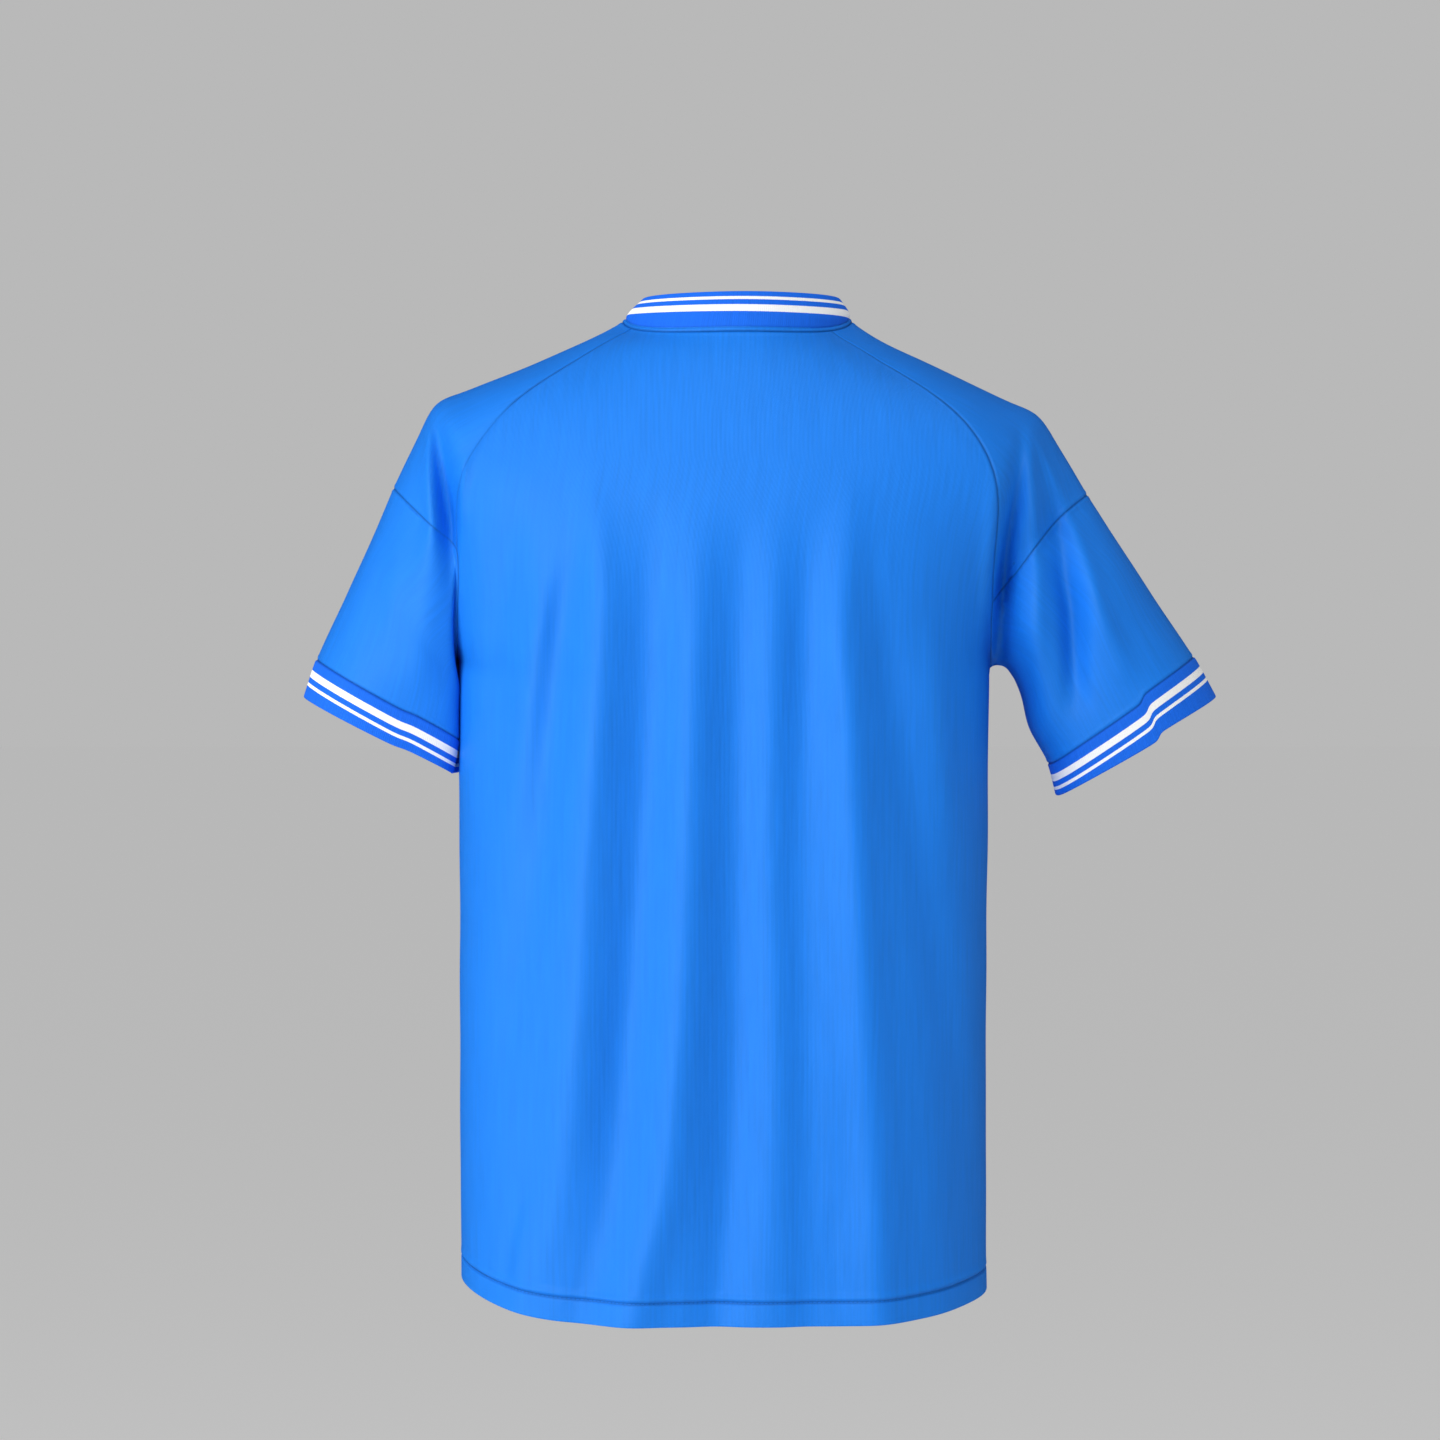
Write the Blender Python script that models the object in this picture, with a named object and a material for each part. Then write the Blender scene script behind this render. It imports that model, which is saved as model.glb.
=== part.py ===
"""A short-sleeved soccer jersey, hollow and open, in the shape it has when worn.

Back and front panels, a shoulder piece and a sleeve on each side, rib cuffs and a rib collar.
+X is the wearer's right, +Y is the way the wearer faces and +Z is up. The origin is at the base of
the neck, level with the collar seam at the centre back. Sizes are in millimetres until a mesh is made.
"""

import math

import bpy
import numpy as np

MM = 0.001

JERSEY_WALL = 1.6  # knit cloth
RIB_WALL = 2.4  # folded rib of the collar and cuffs
SEAM_GAP = 0.3  # between two pieces that are sewn together

# How many faces a stretch of cloth is divided into.
PANEL_COLUMNS = 16  # from the centre line of a panel to its edge
SEAM_ROWS = 14  # hem to underarm
ARMHOLE_ROWS = 5  # underarm to drop seam
RAGLAN_ROWS = 11  # drop seam to collar
DROP_ROW = SEAM_ROWS + ARMHOLE_ROWS
YOKE_COLUMNS = 10  # raglan seam to the top of the shoulder
SLEEVE_ROWS = (1, 3, 3, 2)  # drop seam to bridge, and on to each section of the sleeve
CUFF_ROWS = 2
COLLAR_ROWS = 3
SPREAD_STEPS = 12  # evens out how far apart a panel's rows are along its middle
FINE = 160  # points on a curve before it is divided evenly


def table(columns, *rows):
    """A short table of numbers, as one array for each named column."""
    return dict(zip(columns.split(), np.array(rows, float).T))


def points_of(rows, columns="x y z"):
    return np.column_stack([rows[name] for name in columns.split()])


# The collar's seam and its rim: half the width, the reach behind and before the neck, how far the middle
# lies to the right, and three heights.
COLLAR_SEAM = {"half_width": 82.0, "behind": 70.0, "before": 88.0, "aside": 0.0}
COLLAR_SEAM |= {"back": 0.0, "side": 16.0, "front": -70.0}
COLLAR_RIM = {"half_width": 70.0, "behind": 61.0, "before": 73.0, "aside": 3.0}
COLLAR_RIM |= {"back": 29.0, "side": 30.0, "front": -47.0}
COLLAR_CURVE = 1.9  # how late the ring rises from the centre back to the side
COLLAR_SOFTNESS = 4.0  # the ring turns down at the side of the neck this far below the peak
COLLAR_BOW = 1.2  # the band's middle stands out by this

# Where the raglan seams meet the collar, in degrees from the centre back.
NECK_ANGLES = {"left": {"back": 66.0, "front": 116.0}, "right": {"back": 54.0, "front": 116.0}}

# The centre lines, from the hem to the collar.
CENTRE_BACK = table(
    "z    y",
    (-692, -128),
    (-600, -125),
    (-450, -122),
    (-300, -122),
    (-200, -121),
    (-140, -117),
    (-95, -110),
    (-55, -99),
    (-25, -86),
    (0, -70),
)
CENTRE_FRONT = table(
    "z    y",
    (-678, 131),
    (-500, 131),
    (-350, 133),
    (-250, 134),
    (-190, 130),
    (-140, 119),
    (-100, 104),
    (-70, 88),
)

# The side seams, from the hem to the underarm.
SIDE_SEAMS = {
    "left": table(
        "x      y  z",
        (-195.5, 4, -671),
        (-196.5, 4, -600),
        (-197.5, 5, -450),
        (-197.0, 5, -330),
        (-195.0, 5, -270),
        (-194.0, 5, -232),
    ),
    "right": table(
        "x      y  z",
        (178.5, 4, -680),
        (178.0, 4, -600),
        (178.5, 5, -450),
        (179.5, 5, -330),
        (180.0, 5, -270),
        (181.0, 5, -235),
    ),
}

# The raglan seams below the collar, and the armholes under them, down to the underarm.
# Where the drop seam meets the raglan seam, in points counted from the underarm.
DROP_SEAM_KNOTS = {"left": 3, "right": 2}
RAGLANS = {
    "left": {
        "back": table(
            "x       y     z",
            (-99.2, -50, -9.7),
            (-121.4, -63, -24.6),
            (-146.3, -75, -41.7),
            (-163.5, -82, -57.0),
            (-182.8, -87, -83.2),
            (-193.3, -87, -100.6),
            (-197.1, -83, -120.0),
            (-197.8, -72, -154.5),
            (-197.0, -55, -190.0),
            (-195.5, -28, -221.0),
        ),
        "front": table(
            "x       y    z",
            (-101, 65, -44),
            (-134, 87, -69),
            (-163, 98, -96),
            (-182, 98, -122),
            (-192, 87, -152),
            (-196, 62, -188),
            (-195, 35, -219),
        ),
    },
    "right": {
        "back": table(
            "x       y     z",
            (100.0, -60, -20.5),
            (135.9, -76, -43.7),
            (158.5, -84, -63.4),
            (172.3, -88, -83.2),
            (180.7, -88, -103.5),
            (182.9, -85, -120.8),
            (181.6, -74, -150.4),
            (180.0, -55, -191.0),
            (180.0, -28, -223.0),
        ),
        "front": table(
            "x      y    z",
            (100, 65, -44),
            (130, 87, -71),
            (154, 98, -98),
            (170, 98, -125),
            (177, 87, -155),
            (180, 62, -190),
            (180, 35, -222),
        ),
    },
}

# The top of the shoulder and of the arm, from beside the collar to the drop seam.
SHOULDER_LINES = {
    "left": table(
        "x       y   z",
        (-97.0, -1, 4.0),
        (-137.0, -3, -14.6),
        (-180.0, -4, -32.4),
        (-206.0, -5, -43.0),
        (-216.0, -5, -47.8),
        (-221.5, -5, -57.0),
        (-246.2, -5, -107.7),
    ),
    "right": table(
        "x      y   z",
        (97.0, -1, 2.0),
        (135.0, -3, -17.0),
        (176.0, -4, -37.0),
        (206.0, -5, -50.6),
        (216.0, -5, -55.8),
        (222.5, -5, -65.0),
        (251.3, -5, -112.0),
    ),
}
SHOULDER_POINT = 5  # the bend at the end of the shoulder, counted from the collar
SHOULDER_ROWS = 8  # collar to shoulder point
YOKE_FULLNESS = table(
    "along  share",  # along the shoulder line, and how far the cloth keeps out before it turns down
    (0.0, 0.53),
    (0.35, 0.62),
    (0.7, 0.84),
    (1.0, 0.97),
)
DROP_SEAM_BOWS = {"left": 0.0, "right": 6.0}  # how far the drop seam bends up beside the arm
BOW_ROWS = 4  # rows of the shoulder piece that bend with it

# Sections of the sleeve: its outer and inner points, the arm's centre and half the depth.
SLEEVES = {
    "left": table(
        "outer_x outer_z inner_x inner_z y   half_depth",
        (-265.0, -149.0, -198.6, -250.0, 5, 63),
        (-283.6, -190.0, -199.0, -272.0, 6, 61),
        (-302.4, -230.0, -199.6, -288.0, 7, 60),
        (-311.8, -257.4, -204.0, -312.0, 8, 59),
    ),
    "right": table(
        "outer_x outer_z inner_x inner_z y   half_depth",
        (277.0, -151.0, 202.0, -246.0, 5, 61),
        (303.0, -190.0, 212.5, -281.0, 7, 57),
        (329.0, -228.0, 226.0, -305.0, 9, 55),
        (344.9, -257.4, 231.8, -328.0, 10, 54),
    ),
}
UNDERARM_BRIDGES = {"left": 4.5, "right": 11.0}  # the sleeve leaves the body level before it turns down

# Sections of the panels, from the hem to the collar: how square they are, where they are widest, and how
# much they follow the hem, which rises towards the sides.
PANEL_SECTIONS = table(
    "row  squareness widest_y hem_share",
    (0, 2.8, 4, 1),
    (SEAM_ROWS, 2.8, 5, 0),
    (DROP_ROW, 2.6, 5, 0),
    (DROP_ROW + RAGLAN_ROWS / 2, 2.1, 3, 0),
    (DROP_ROW + RAGLAN_ROWS, 2.0, 0, 0),
)
HEM_CURVE = 4.5

# The largest folds, as ridges (+) and troughs (-) through a top, a middle and a bottom point. Each fades
# in below its top and out above its bottom, over the last two lengths.
FOLDS_BACK = table(
    "top_x  top_z mid_x  mid_z bottom_x bottom_z half_width depth fade_top fade_bottom",
    (-92, -130, -105, -330, -146, -720, 25, 6.5, 150, 0),
    (-30, -130, -34, -330, -78, -720, 24, 6.0, 150, 0),
    (24, -200, 23, -420, 13, -720, 20, 5.0, 150, 0),
    (70, -130, 83, -330, 124, -720, 26, 6.5, 150, 0),
    (139, -220, 150, -420, 168, -720, 20, 5.0, 150, 0),
    (196, -72, 193, -134, 187, -225, 13, -8.0, 40, 30),
    (205, -90, 204, -150, 206, -262, 12, 3.5, 40, 40),
    (221, -110, 226, -160, 236, -250, 14, -3.0, 40, 40),
    (-218, -62, -206, -105, -199, -150, 12, -6.0, 30, 40),
)
FOLDS_FRONT = table(
    "top_x  top_z mid_x  mid_z bottom_x bottom_z half_width depth fade_top fade_bottom",
    (-112, -170, -124, -380, -150, -720, 25, 6.0, 150, 0),
    (-46, -190, -58, -400, -78, -720, 24, 5.5, 150, 0),
    (18, -210, 14, -430, 6, -720, 22, 5.0, 150, 0),
    (78, -170, 90, -380, 114, -720, 26, 6.5, 150, 0),
    (-204, -70, -202, -130, -197, -215, 13, -6.0, 40, 30),
    (196, -74, 193, -136, 187, -220, 13, -6.0, 40, 30),
)

RELAX_STEPS = 4
RELAX_REACH = 24.0  # how far from a raglan seam the cloth is smoothed
RELAX_PULL = 0.5
RELAX_PUSH = -0.52

JERSEY_BLUE = (0.025, 0.223, 0.855, 1)
RIB_BLUE = (0.012, 0.145, 0.83, 1)
JERSEY_ROUGHNESS = 0.55
RIB_ROUGHNESS = 0.7
SHARP_EDGE = math.radians(50)


def evenly(points, steps):
    """Points spaced evenly along a finely divided curve."""
    lengths = np.linalg.norm(np.diff(points, axis=0), axis=1)
    reach = np.concatenate([[0.0], np.cumsum(lengths)])
    wanted = np.linspace(0.0, reach[-1], steps + 1)
    return np.column_stack([np.interp(wanted, reach, column) for column in points.T])


def curve(rows, first=0, last=-1):
    """A finely divided smooth curve through the rows, between two of them."""
    rows = np.asarray(rows, float)
    knots = np.concatenate([[0.0], np.cumsum(np.linalg.norm(np.diff(rows, axis=0), axis=1))])
    slopes = np.gradient(rows, knots, axis=0)
    at = np.linspace(knots[first], knots[last], FINE)
    span = np.clip(np.searchsorted(knots, at, side="right") - 1, 0, len(rows) - 2)
    width = (knots[span + 1] - knots[span])[:, None]
    part = (at - knots[span])[:, None] / width
    start = rows[span] * (1 + 2 * part) + width * slopes[span] * part
    end = rows[span + 1] * (3 - 2 * part) - width * slopes[span + 1] * (1 - part)
    return start * (1 - part) ** 2 + end * part**2


def neck_point(ring, degrees):
    """A point of the collar's seam or rim, at an angle from the centre back towards the wearer's right."""
    behind = math.cos(math.radians(degrees))
    reach = ring["behind"] if behind > 0 else ring["before"]
    back = ring["back"] + (ring["side"] - ring["back"]) * (1 - behind) ** COLLAR_CURVE
    front = ring["side"] + (ring["side"] - ring["front"]) * behind
    height = (back + front) / 2 - math.hypot((back - front) / 2, COLLAR_SOFTNESS)
    x = ring["aside"] + ring["half_width"] * math.sin(math.radians(degrees))
    return np.array([x, -reach * behind, height])


def angle_at(point):
    """The angle of a point of the collar's seam, as neck_point takes it."""
    reach = COLLAR_SEAM["behind"] if point[1] < 0 else COLLAR_SEAM["before"]
    return math.degrees(math.atan2(point[0] / COLLAR_SEAM["half_width"], -point[1] / reach))


def sign_of(side):
    return -1 if side == "left" else 1


def side_edge(side, face):
    """One edge of a panel from the hem up: side seam, armhole and raglan seam."""
    seam = points_of(SIDE_SEAMS[side])
    junction = neck_point(COLLAR_SEAM, sign_of(side) * NECK_ANGLES[side][face])
    upper = np.vstack([seam[-1], points_of(RAGLANS[side][face])[::-1], junction])
    knot = DROP_SEAM_KNOTS[side]
    return np.vstack(
        [
            evenly(curve(seam), SEAM_ROWS)[:-1],
            evenly(curve(upper, 0, knot), ARMHOLE_ROWS)[:-1],
            evenly(curve(upper, knot), RAGLAN_ROWS),
        ]
    )


def half_row(centre, end, squareness, widest_y, hem_share):
    """Evenly spaced points from a panel's centre line to its edge, on part of a squared oval."""
    power = 2 / squareness
    depth = max(0.0, (end[1] - widest_y) / (centre[1] - widest_y))
    fullness = math.acos(depth ** (1 / power))
    turn = np.linspace(0, fullness, FINE)
    across = (np.sin(turn) / math.sin(fullness)) ** power
    inward = (1 - np.cos(turn) ** power) / (1 - math.cos(fullness) ** power)
    x = centre[0] + (end[0] - centre[0]) * across
    y = centre[1] + (end[1] - centre[1]) * inward
    z = centre[2] + (end[2] - centre[2]) * (inward + hem_share * (across**HEM_CURVE - inward))
    return evenly(np.column_stack([x, y, z]), PANEL_COLUMNS)


def centre_line(left, right, profile, collar_height):
    """The middle of each row of a panel, on the profile and as high as the row's ends call for."""
    ends = (left + right) / 2
    hem, drop, neck = ends[[0, DROP_ROW, -1], 2]
    above = drop + (collar_height - drop) * (ends[:, 2] - drop) / (neck - drop)
    below = profile["z"][0] + (drop - profile["z"][0]) * (ends[:, 2] - hem) / (drop - hem)
    height = np.where(np.arange(len(ends)) > DROP_ROW, above, below)
    for _ in range(SPREAD_STEPS):
        height[1:-1] = (height[:-2] + 2 * height[1:-1] + height[2:]) / 4
    fine = curve(points_of(profile, "z y"))
    middle = ends[:, 0] * np.clip((collar_height - height) / abs(drop), 0, 1)
    return np.column_stack([middle, np.interp(height, fine[:, 0], fine[:, 1]), height])


def panel(face):
    """The grid of the back or front panel, rows from the hem up and columns from left to right."""
    edges = [side_edge(side, face) for side in ("left", "right")]
    profile = CENTRE_BACK if face == "back" else CENTRE_FRONT
    middle = centre_line(*edges, profile, COLLAR_SEAM[face])
    rows = np.arange(len(middle))
    sections = [np.interp(rows, PANEL_SECTIONS["row"], column) for column in PANEL_SECTIONS.values()][1:]
    left, right = (np.array([half_row(*row) for row in zip(middle, edge, *sections)]) for edge in edges)
    return np.concatenate([left[:, ::-1], right[:, 1:]], axis=1)


def quarter(edge, top, share):
    """Points from a raglan seam to the top of the shoulder, on a quarter of an oval."""
    corner = top + np.array([0, share * (edge[1] - top[1]), 0])
    turn = np.linspace(0, math.pi / 2, FINE)[:, None]
    arc = corner + (edge - corner) * (1 - np.sin(turn)) + (top - corner) * (1 - np.cos(turn))
    return evenly(arc, YOKE_COLUMNS)


def yoke(side, back_edge, front_edge):
    """The grid of a shoulder piece, rows from the drop seam to the collar and columns from back to front."""
    beside_neck = neck_point(COLLAR_SEAM, sign_of(side) * 90)
    line = np.vstack([beside_neck, points_of(SHOULDER_LINES[side])])
    level = evenly(curve(line, 0, SHOULDER_POINT), SHOULDER_ROWS)
    tops = np.vstack([level, evenly(curve(line, SHOULDER_POINT), RAGLAN_ROWS - SHOULDER_ROWS)[1:]])[::-1]
    shares = np.interp(np.linspace(1, 0, RAGLAN_ROWS + 1), YOKE_FULLNESS["along"], YOKE_FULLNESS["share"])
    rows = []
    for back, top, front, share in zip(back_edge, tops, front_edge, shares):
        rows.append(np.vstack([quarter(back, top, share)[:-1], quarter(front, top, share)[::-1]]))
    rows = np.array(rows)
    up = np.gradient(rows, axis=0)
    up /= np.linalg.norm(up, axis=2, keepdims=True)
    across = np.sin(np.linspace(0, 2 * math.pi, 2 * YOKE_COLUMNS + 1)) ** 2
    fade = np.clip(1 - np.arange(len(rows)) / BOW_ROWS, 0, 1)
    return rows + DROP_SEAM_BOWS[side] * (fade[:, None] * across)[:, :, None] * up


def sleeve_section(outer_x, outer_z, inner_x, inner_z, y, half_depth):
    """A ring round the arm that starts and ends where the raglan seam meets the drop seam at the back."""
    count = 2 * YOKE_COLUMNS + 2 * ARMHOLE_ROWS
    turn = 2 * math.pi * (np.arange(count + 1) - YOKE_COLUMNS) / count
    across = (1 + np.cos(turn)) / 2
    x = inner_x + (outer_x - inner_x) * across
    z = inner_z + (outer_z - inner_z) * across
    return np.column_stack([x, y + half_depth * np.sin(turn), z])


def bridge(top, section, side):
    """The ring just below the armhole: level with it under the arm, and towards the first section above."""
    down = section - top
    down /= np.linalg.norm(down, axis=1, keepdims=True)
    columns = np.arange(len(top))
    under = np.clip(1 - np.abs(columns - 2 * YOKE_COLUMNS - ARMHOLE_ROWS) / ARMHOLE_ROWS, 0, 1)[:, None]
    outward = np.array([sign_of(side), 0, 0])
    leave = down * (1 - under) + outward * under
    return top + UNDERARM_BRIDGES[side] * leave / np.linalg.norm(leave, axis=1, keepdims=True)


def sleeve(side, drop_seam, back_hole, front_hole):
    """The grids of a sleeve and its cuff, rows from below up and columns from the back over the arm."""
    top = np.vstack([drop_seam, front_hole[::-1][1:], back_hole[1:]])
    sections = [sleeve_section(*row) for row in zip(*SLEEVES[side].values())]
    rings = np.stack([top, bridge(top, sections[0], side)] + sections, axis=1)
    counts = SLEEVE_ROWS + (CUFF_ROWS,)
    lines = []
    for line in rings:
        stretches = [evenly(curve(line, part, part + 1), count)[1:] for part, count in enumerate(counts)]
        lines.append(np.vstack([line[0]] + stretches))
    grid = np.stack(lines, axis=1)[::-1]
    return grid[CUFF_ROWS:], grid[: CUFF_ROWS + 1]


def collar(seam_ring):
    """The grid of the collar band, from its seam up to its rim."""
    rows = [seam_ring]
    for row in range(1, COLLAR_ROWS + 1):
        part = row / COLLAR_ROWS
        ring = []
        for point in seam_ring:
            rim = neck_point(COLLAR_RIM, angle_at(point))
            outward = np.array([point[0], point[1], 0]) / math.hypot(point[0], point[1])
            bow = COLLAR_BOW * math.sin(math.pi * part)
            ring.append(point + (rim - point) * part + outward * bow)
        rows.append(np.array(ring))
    return np.array(rows)


def mirrored(grid):
    """The same grid with its columns the other way round."""
    return grid[:, ::-1]


def garment():
    """The grid of each piece. Columns go round to the left seen from above, so faces point out."""
    back = panel("back")
    front = panel("front")
    pieces = {"back_panel": back, "front_panel": mirrored(front)}
    for side, column in (("left", 0), ("right", -1)):
        back_edge = back[:, column]
        front_edge = front[:, column]
        shoulder = yoke(side, back_edge[DROP_ROW:], front_edge[DROP_ROW:])
        holes = back_edge[SEAM_ROWS : DROP_ROW + 1], front_edge[SEAM_ROWS : DROP_ROW + 1]
        arm, cuff = sleeve(side, shoulder[0], *holes)
        for name, grid in (("shoulder_yoke", shoulder), ("sleeve", arm), ("cuff", cuff)):
            pieces[f"{name}_{side}"] = mirrored(grid) if side == "left" else grid
    round_neck = ("back_panel", "shoulder_yoke_right", "front_panel", "shoulder_yoke_left")
    for name in round_neck:
        pieces[name][-1] = [neck_point(COLLAR_SEAM, angle_at(point)) for point in pieces[name][-1]]
    ring = [pieces[name][-1, :-1] for name in round_neck[:-1]] + [pieces[round_neck[-1]][-1]]
    pieces["collar"] = collar(np.vstack(ring))
    return pieces


def weld(pieces):
    """One shared set of points, and the faces of each piece as indices into it."""
    keys = {}
    points = []
    faces = {}
    for name, grid in pieces.items():
        index = np.empty(grid.shape[:2], int)
        for place in np.ndindex(*index.shape):
            key = tuple(np.round(grid[place], 3))
            if key not in keys:
                keys[key] = len(points)
                points.append(grid[place])
            index[place] = keys[key]
        corners = (index[:-1, :-1], index[:-1, 1:], index[1:, 1:], index[1:, :-1])
        faces[name] = np.stack(corners, axis=-1).reshape(-1, 4)
    return np.array(points), faces


def normals_of(points, faces):
    """Normals of the shared points, over all the pieces together."""
    quads = np.concatenate(list(faces.values()))
    corners = points[quads]
    across = np.cross(corners[:, 2] - corners[:, 0], corners[:, 3] - corners[:, 1])
    across /= np.linalg.norm(across, axis=1, keepdims=True)
    normals = np.zeros_like(points)
    for column in range(4):
        np.add.at(normals, quads[:, column], across)
    return normals / np.linalg.norm(normals, axis=1, keepdims=True)


def edges_of(quads):
    return np.concatenate([quads[:, [corner, (corner + 1) % 4]] for corner in range(4)])


def relax(points, faces):
    """Smooths the cloth across the raglan seams and armholes, and keeps its size."""
    shoulder = [faces[name] for name in faces if name.startswith(("shoulder", "sleeve"))]
    panels = [faces["back_panel"], faces["front_panel"]]
    seam = np.intersect1d(np.concatenate(shoulder), np.concatenate(panels))
    away = np.linalg.norm(points[:, None] - points[None, seam], axis=2).min(axis=1)
    weight = np.exp(-((away / RELAX_REACH) ** 2))
    weight[np.unique(faces["collar"])] = 0
    weight = weight[:, None]
    ends = np.unique(np.sort(edges_of(np.concatenate(list(faces.values()))), axis=1), axis=0)
    count = np.bincount(ends.ravel(), minlength=len(points))[:, None]
    for _ in range(RELAX_STEPS):
        for strength in (RELAX_PULL, RELAX_PUSH):
            total = np.zeros_like(points)
            np.add.at(total, ends[:, 0], points[ends[:, 1]])
            np.add.at(total, ends[:, 1], points[ends[:, 0]])
            points = points + strength * weight * (total / count - points)
    return points


def eased(share):
    share = np.clip(share, 0, 1)
    return share * share * (3 - 2 * share)


def fold_depth(x, z, folds):
    """How far the cloth stands out at (x, z), from the ridges and troughs of one side."""
    total = np.zeros_like(x)
    for row in zip(*folds.values()):
        top_x, top_z, mid_x, mid_z, bottom_x, bottom_z, half_width, depth, fade_top, fade_bottom = row
        middle = (mid_z - top_z) / (bottom_z - top_z)
        along = (z - top_z) / (bottom_z - top_z)
        bend = (mid_x - top_x - (bottom_x - top_x) * middle) / (middle * (middle - 1))
        line = top_x + (bottom_x - top_x) * along + bend * along * (along - 1)
        fade = eased((top_z - z) / fade_top)
        if fade_bottom:
            fade *= eased((z - bottom_z) / fade_bottom)
        total += depth * fade * np.exp(-(((x - line) / half_width) ** 2))
    return total


def folded(points, normals, faces):
    """The cloth with its largest folds; the collar and cuffs stay smooth."""
    depth = np.where(
        normals[:, 1] < 0,
        fold_depth(points[:, 0], points[:, 2], FOLDS_BACK),
        fold_depth(points[:, 0], points[:, 2], FOLDS_FRONT),
    )
    facing = np.abs(normals[:, 1])
    for name in filter(is_rib, faces):
        depth[np.unique(faces[name])] = 0
    return points + normals * (depth * facing)[:, None]


def pull_back(points, normals, quads):
    """Where a piece's edge points move so that it stays half a gap from each seam."""
    sides = edges_of(quads)
    pairs = np.sort(sides, axis=1)
    _, index, count = np.unique(pairs, axis=0, return_inverse=True, return_counts=True)
    rim = sides[count[index.ravel()] == 1]
    inward = {}
    for start, end in rim:
        for point in (start, end):
            across = np.cross(normals[point], points[end] - points[start])
            inward.setdefault(point, []).append(across / np.linalg.norm(across))
    moved = points.copy()
    for point, (first, second) in inward.items():
        moved[point] += SEAM_GAP / 2 * (first + second) / (1 + first @ second)
    return moved, rim


def wall(points, normals, quads, thickness):
    """The closed wall of one piece: its outer side, its inner side and the rim between them."""
    moved, rim = pull_back(points, normals, quads)
    used = np.unique(quads)
    place = {point: index for index, point in enumerate(used)}
    offset = normals[used] * thickness / 2
    both = np.vstack([moved[used] + offset, moved[used] - offset])
    inner = len(used)
    outside = [tuple(place[point] for point in quad) for quad in quads]
    inside = [(inner + a, inner + d, inner + c, inner + b) for a, b, c, d in outside]
    edge = []
    for start, end in rim:
        strip = [place[end], place[start], inner + place[start], inner + place[end]]
        # Two pieces that meet at a seam split their facing strips the same way, so the gap stays even.
        edge.append(tuple(strip[1:] + strip[:1] if start < end else strip))
    return both, outside + inside + edge


def cloth_material(name, colour, roughness):
    material = bpy.data.materials.new(name)
    material.use_nodes = True
    shader = material.node_tree.nodes["Principled BSDF"]
    shader.inputs["Base Color"].default_value = colour
    shader.inputs["Roughness"].default_value = roughness
    shader.inputs["Metallic"].default_value = 0.0
    return material


def clear_scene():
    for obj in list(bpy.data.objects):
        bpy.data.objects.remove(obj, do_unlink=True)


def is_rib(name):
    return name.startswith(("collar", "cuff"))


def add_piece(name, points, polygons, collection, parent):
    mesh = bpy.data.meshes.new(name)
    mesh.from_pydata((points * MM).tolist(), [], polygons)
    mesh.update()
    mesh.shade_smooth()
    mesh.set_sharp_from_angle(angle=SHARP_EDGE)
    finish = (RIB_BLUE, RIB_ROUGHNESS) if is_rib(name) else (JERSEY_BLUE, JERSEY_ROUGHNESS)
    mesh.materials.append(cloth_material(f"{name}_knit", *finish))
    obj = bpy.data.objects.new(name, mesh)
    obj.parent = parent
    collection.objects.link(obj)


def main():
    clear_scene()
    collection = bpy.data.collections.new("soccer_jersey")
    bpy.context.scene.collection.children.link(collection)
    origin = bpy.data.objects.new("jersey_origin", None)
    collection.objects.link(origin)
    points, faces = weld(garment())
    points = relax(points, faces)
    points = folded(points, normals_of(points, faces), faces)
    normals = normals_of(points, faces)
    for name, quads in faces.items():
        thickness = RIB_WALL if is_rib(name) else JERSEY_WALL
        add_piece(name, *wall(points, normals, quads, thickness), collection, origin)


main()
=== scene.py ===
"""The looks of a short-sleeved soccer jersey as it is worn, with a pale floor, soft light and a camera.

The sections of the solids give a cage in millimetres, with the left sleeve closer to the body. It is made
smooth, divided finely and given a wall, folds, seams, a turned hem, ribs and stitches. The scene is in
metres.
+X is the wearer's right, +Y is the way the wearer faces, +Z is up, and the origin is at the base of the neck.
"""

import math

import bpy
import numpy as np
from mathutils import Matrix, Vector


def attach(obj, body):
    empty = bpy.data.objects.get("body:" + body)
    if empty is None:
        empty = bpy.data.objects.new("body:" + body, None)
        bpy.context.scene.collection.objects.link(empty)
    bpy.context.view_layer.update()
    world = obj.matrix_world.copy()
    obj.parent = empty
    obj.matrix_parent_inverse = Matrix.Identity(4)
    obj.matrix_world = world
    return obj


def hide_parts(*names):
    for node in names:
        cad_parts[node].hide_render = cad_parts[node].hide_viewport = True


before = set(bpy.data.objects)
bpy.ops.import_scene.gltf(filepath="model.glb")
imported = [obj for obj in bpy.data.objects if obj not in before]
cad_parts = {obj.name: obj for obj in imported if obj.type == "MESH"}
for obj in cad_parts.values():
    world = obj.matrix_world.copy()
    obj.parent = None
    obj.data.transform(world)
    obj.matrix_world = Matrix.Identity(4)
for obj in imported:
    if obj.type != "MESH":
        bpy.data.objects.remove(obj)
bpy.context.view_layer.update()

MM = 0.001

# ---------------------------------------------------------------- the cage, in millimetres

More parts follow.
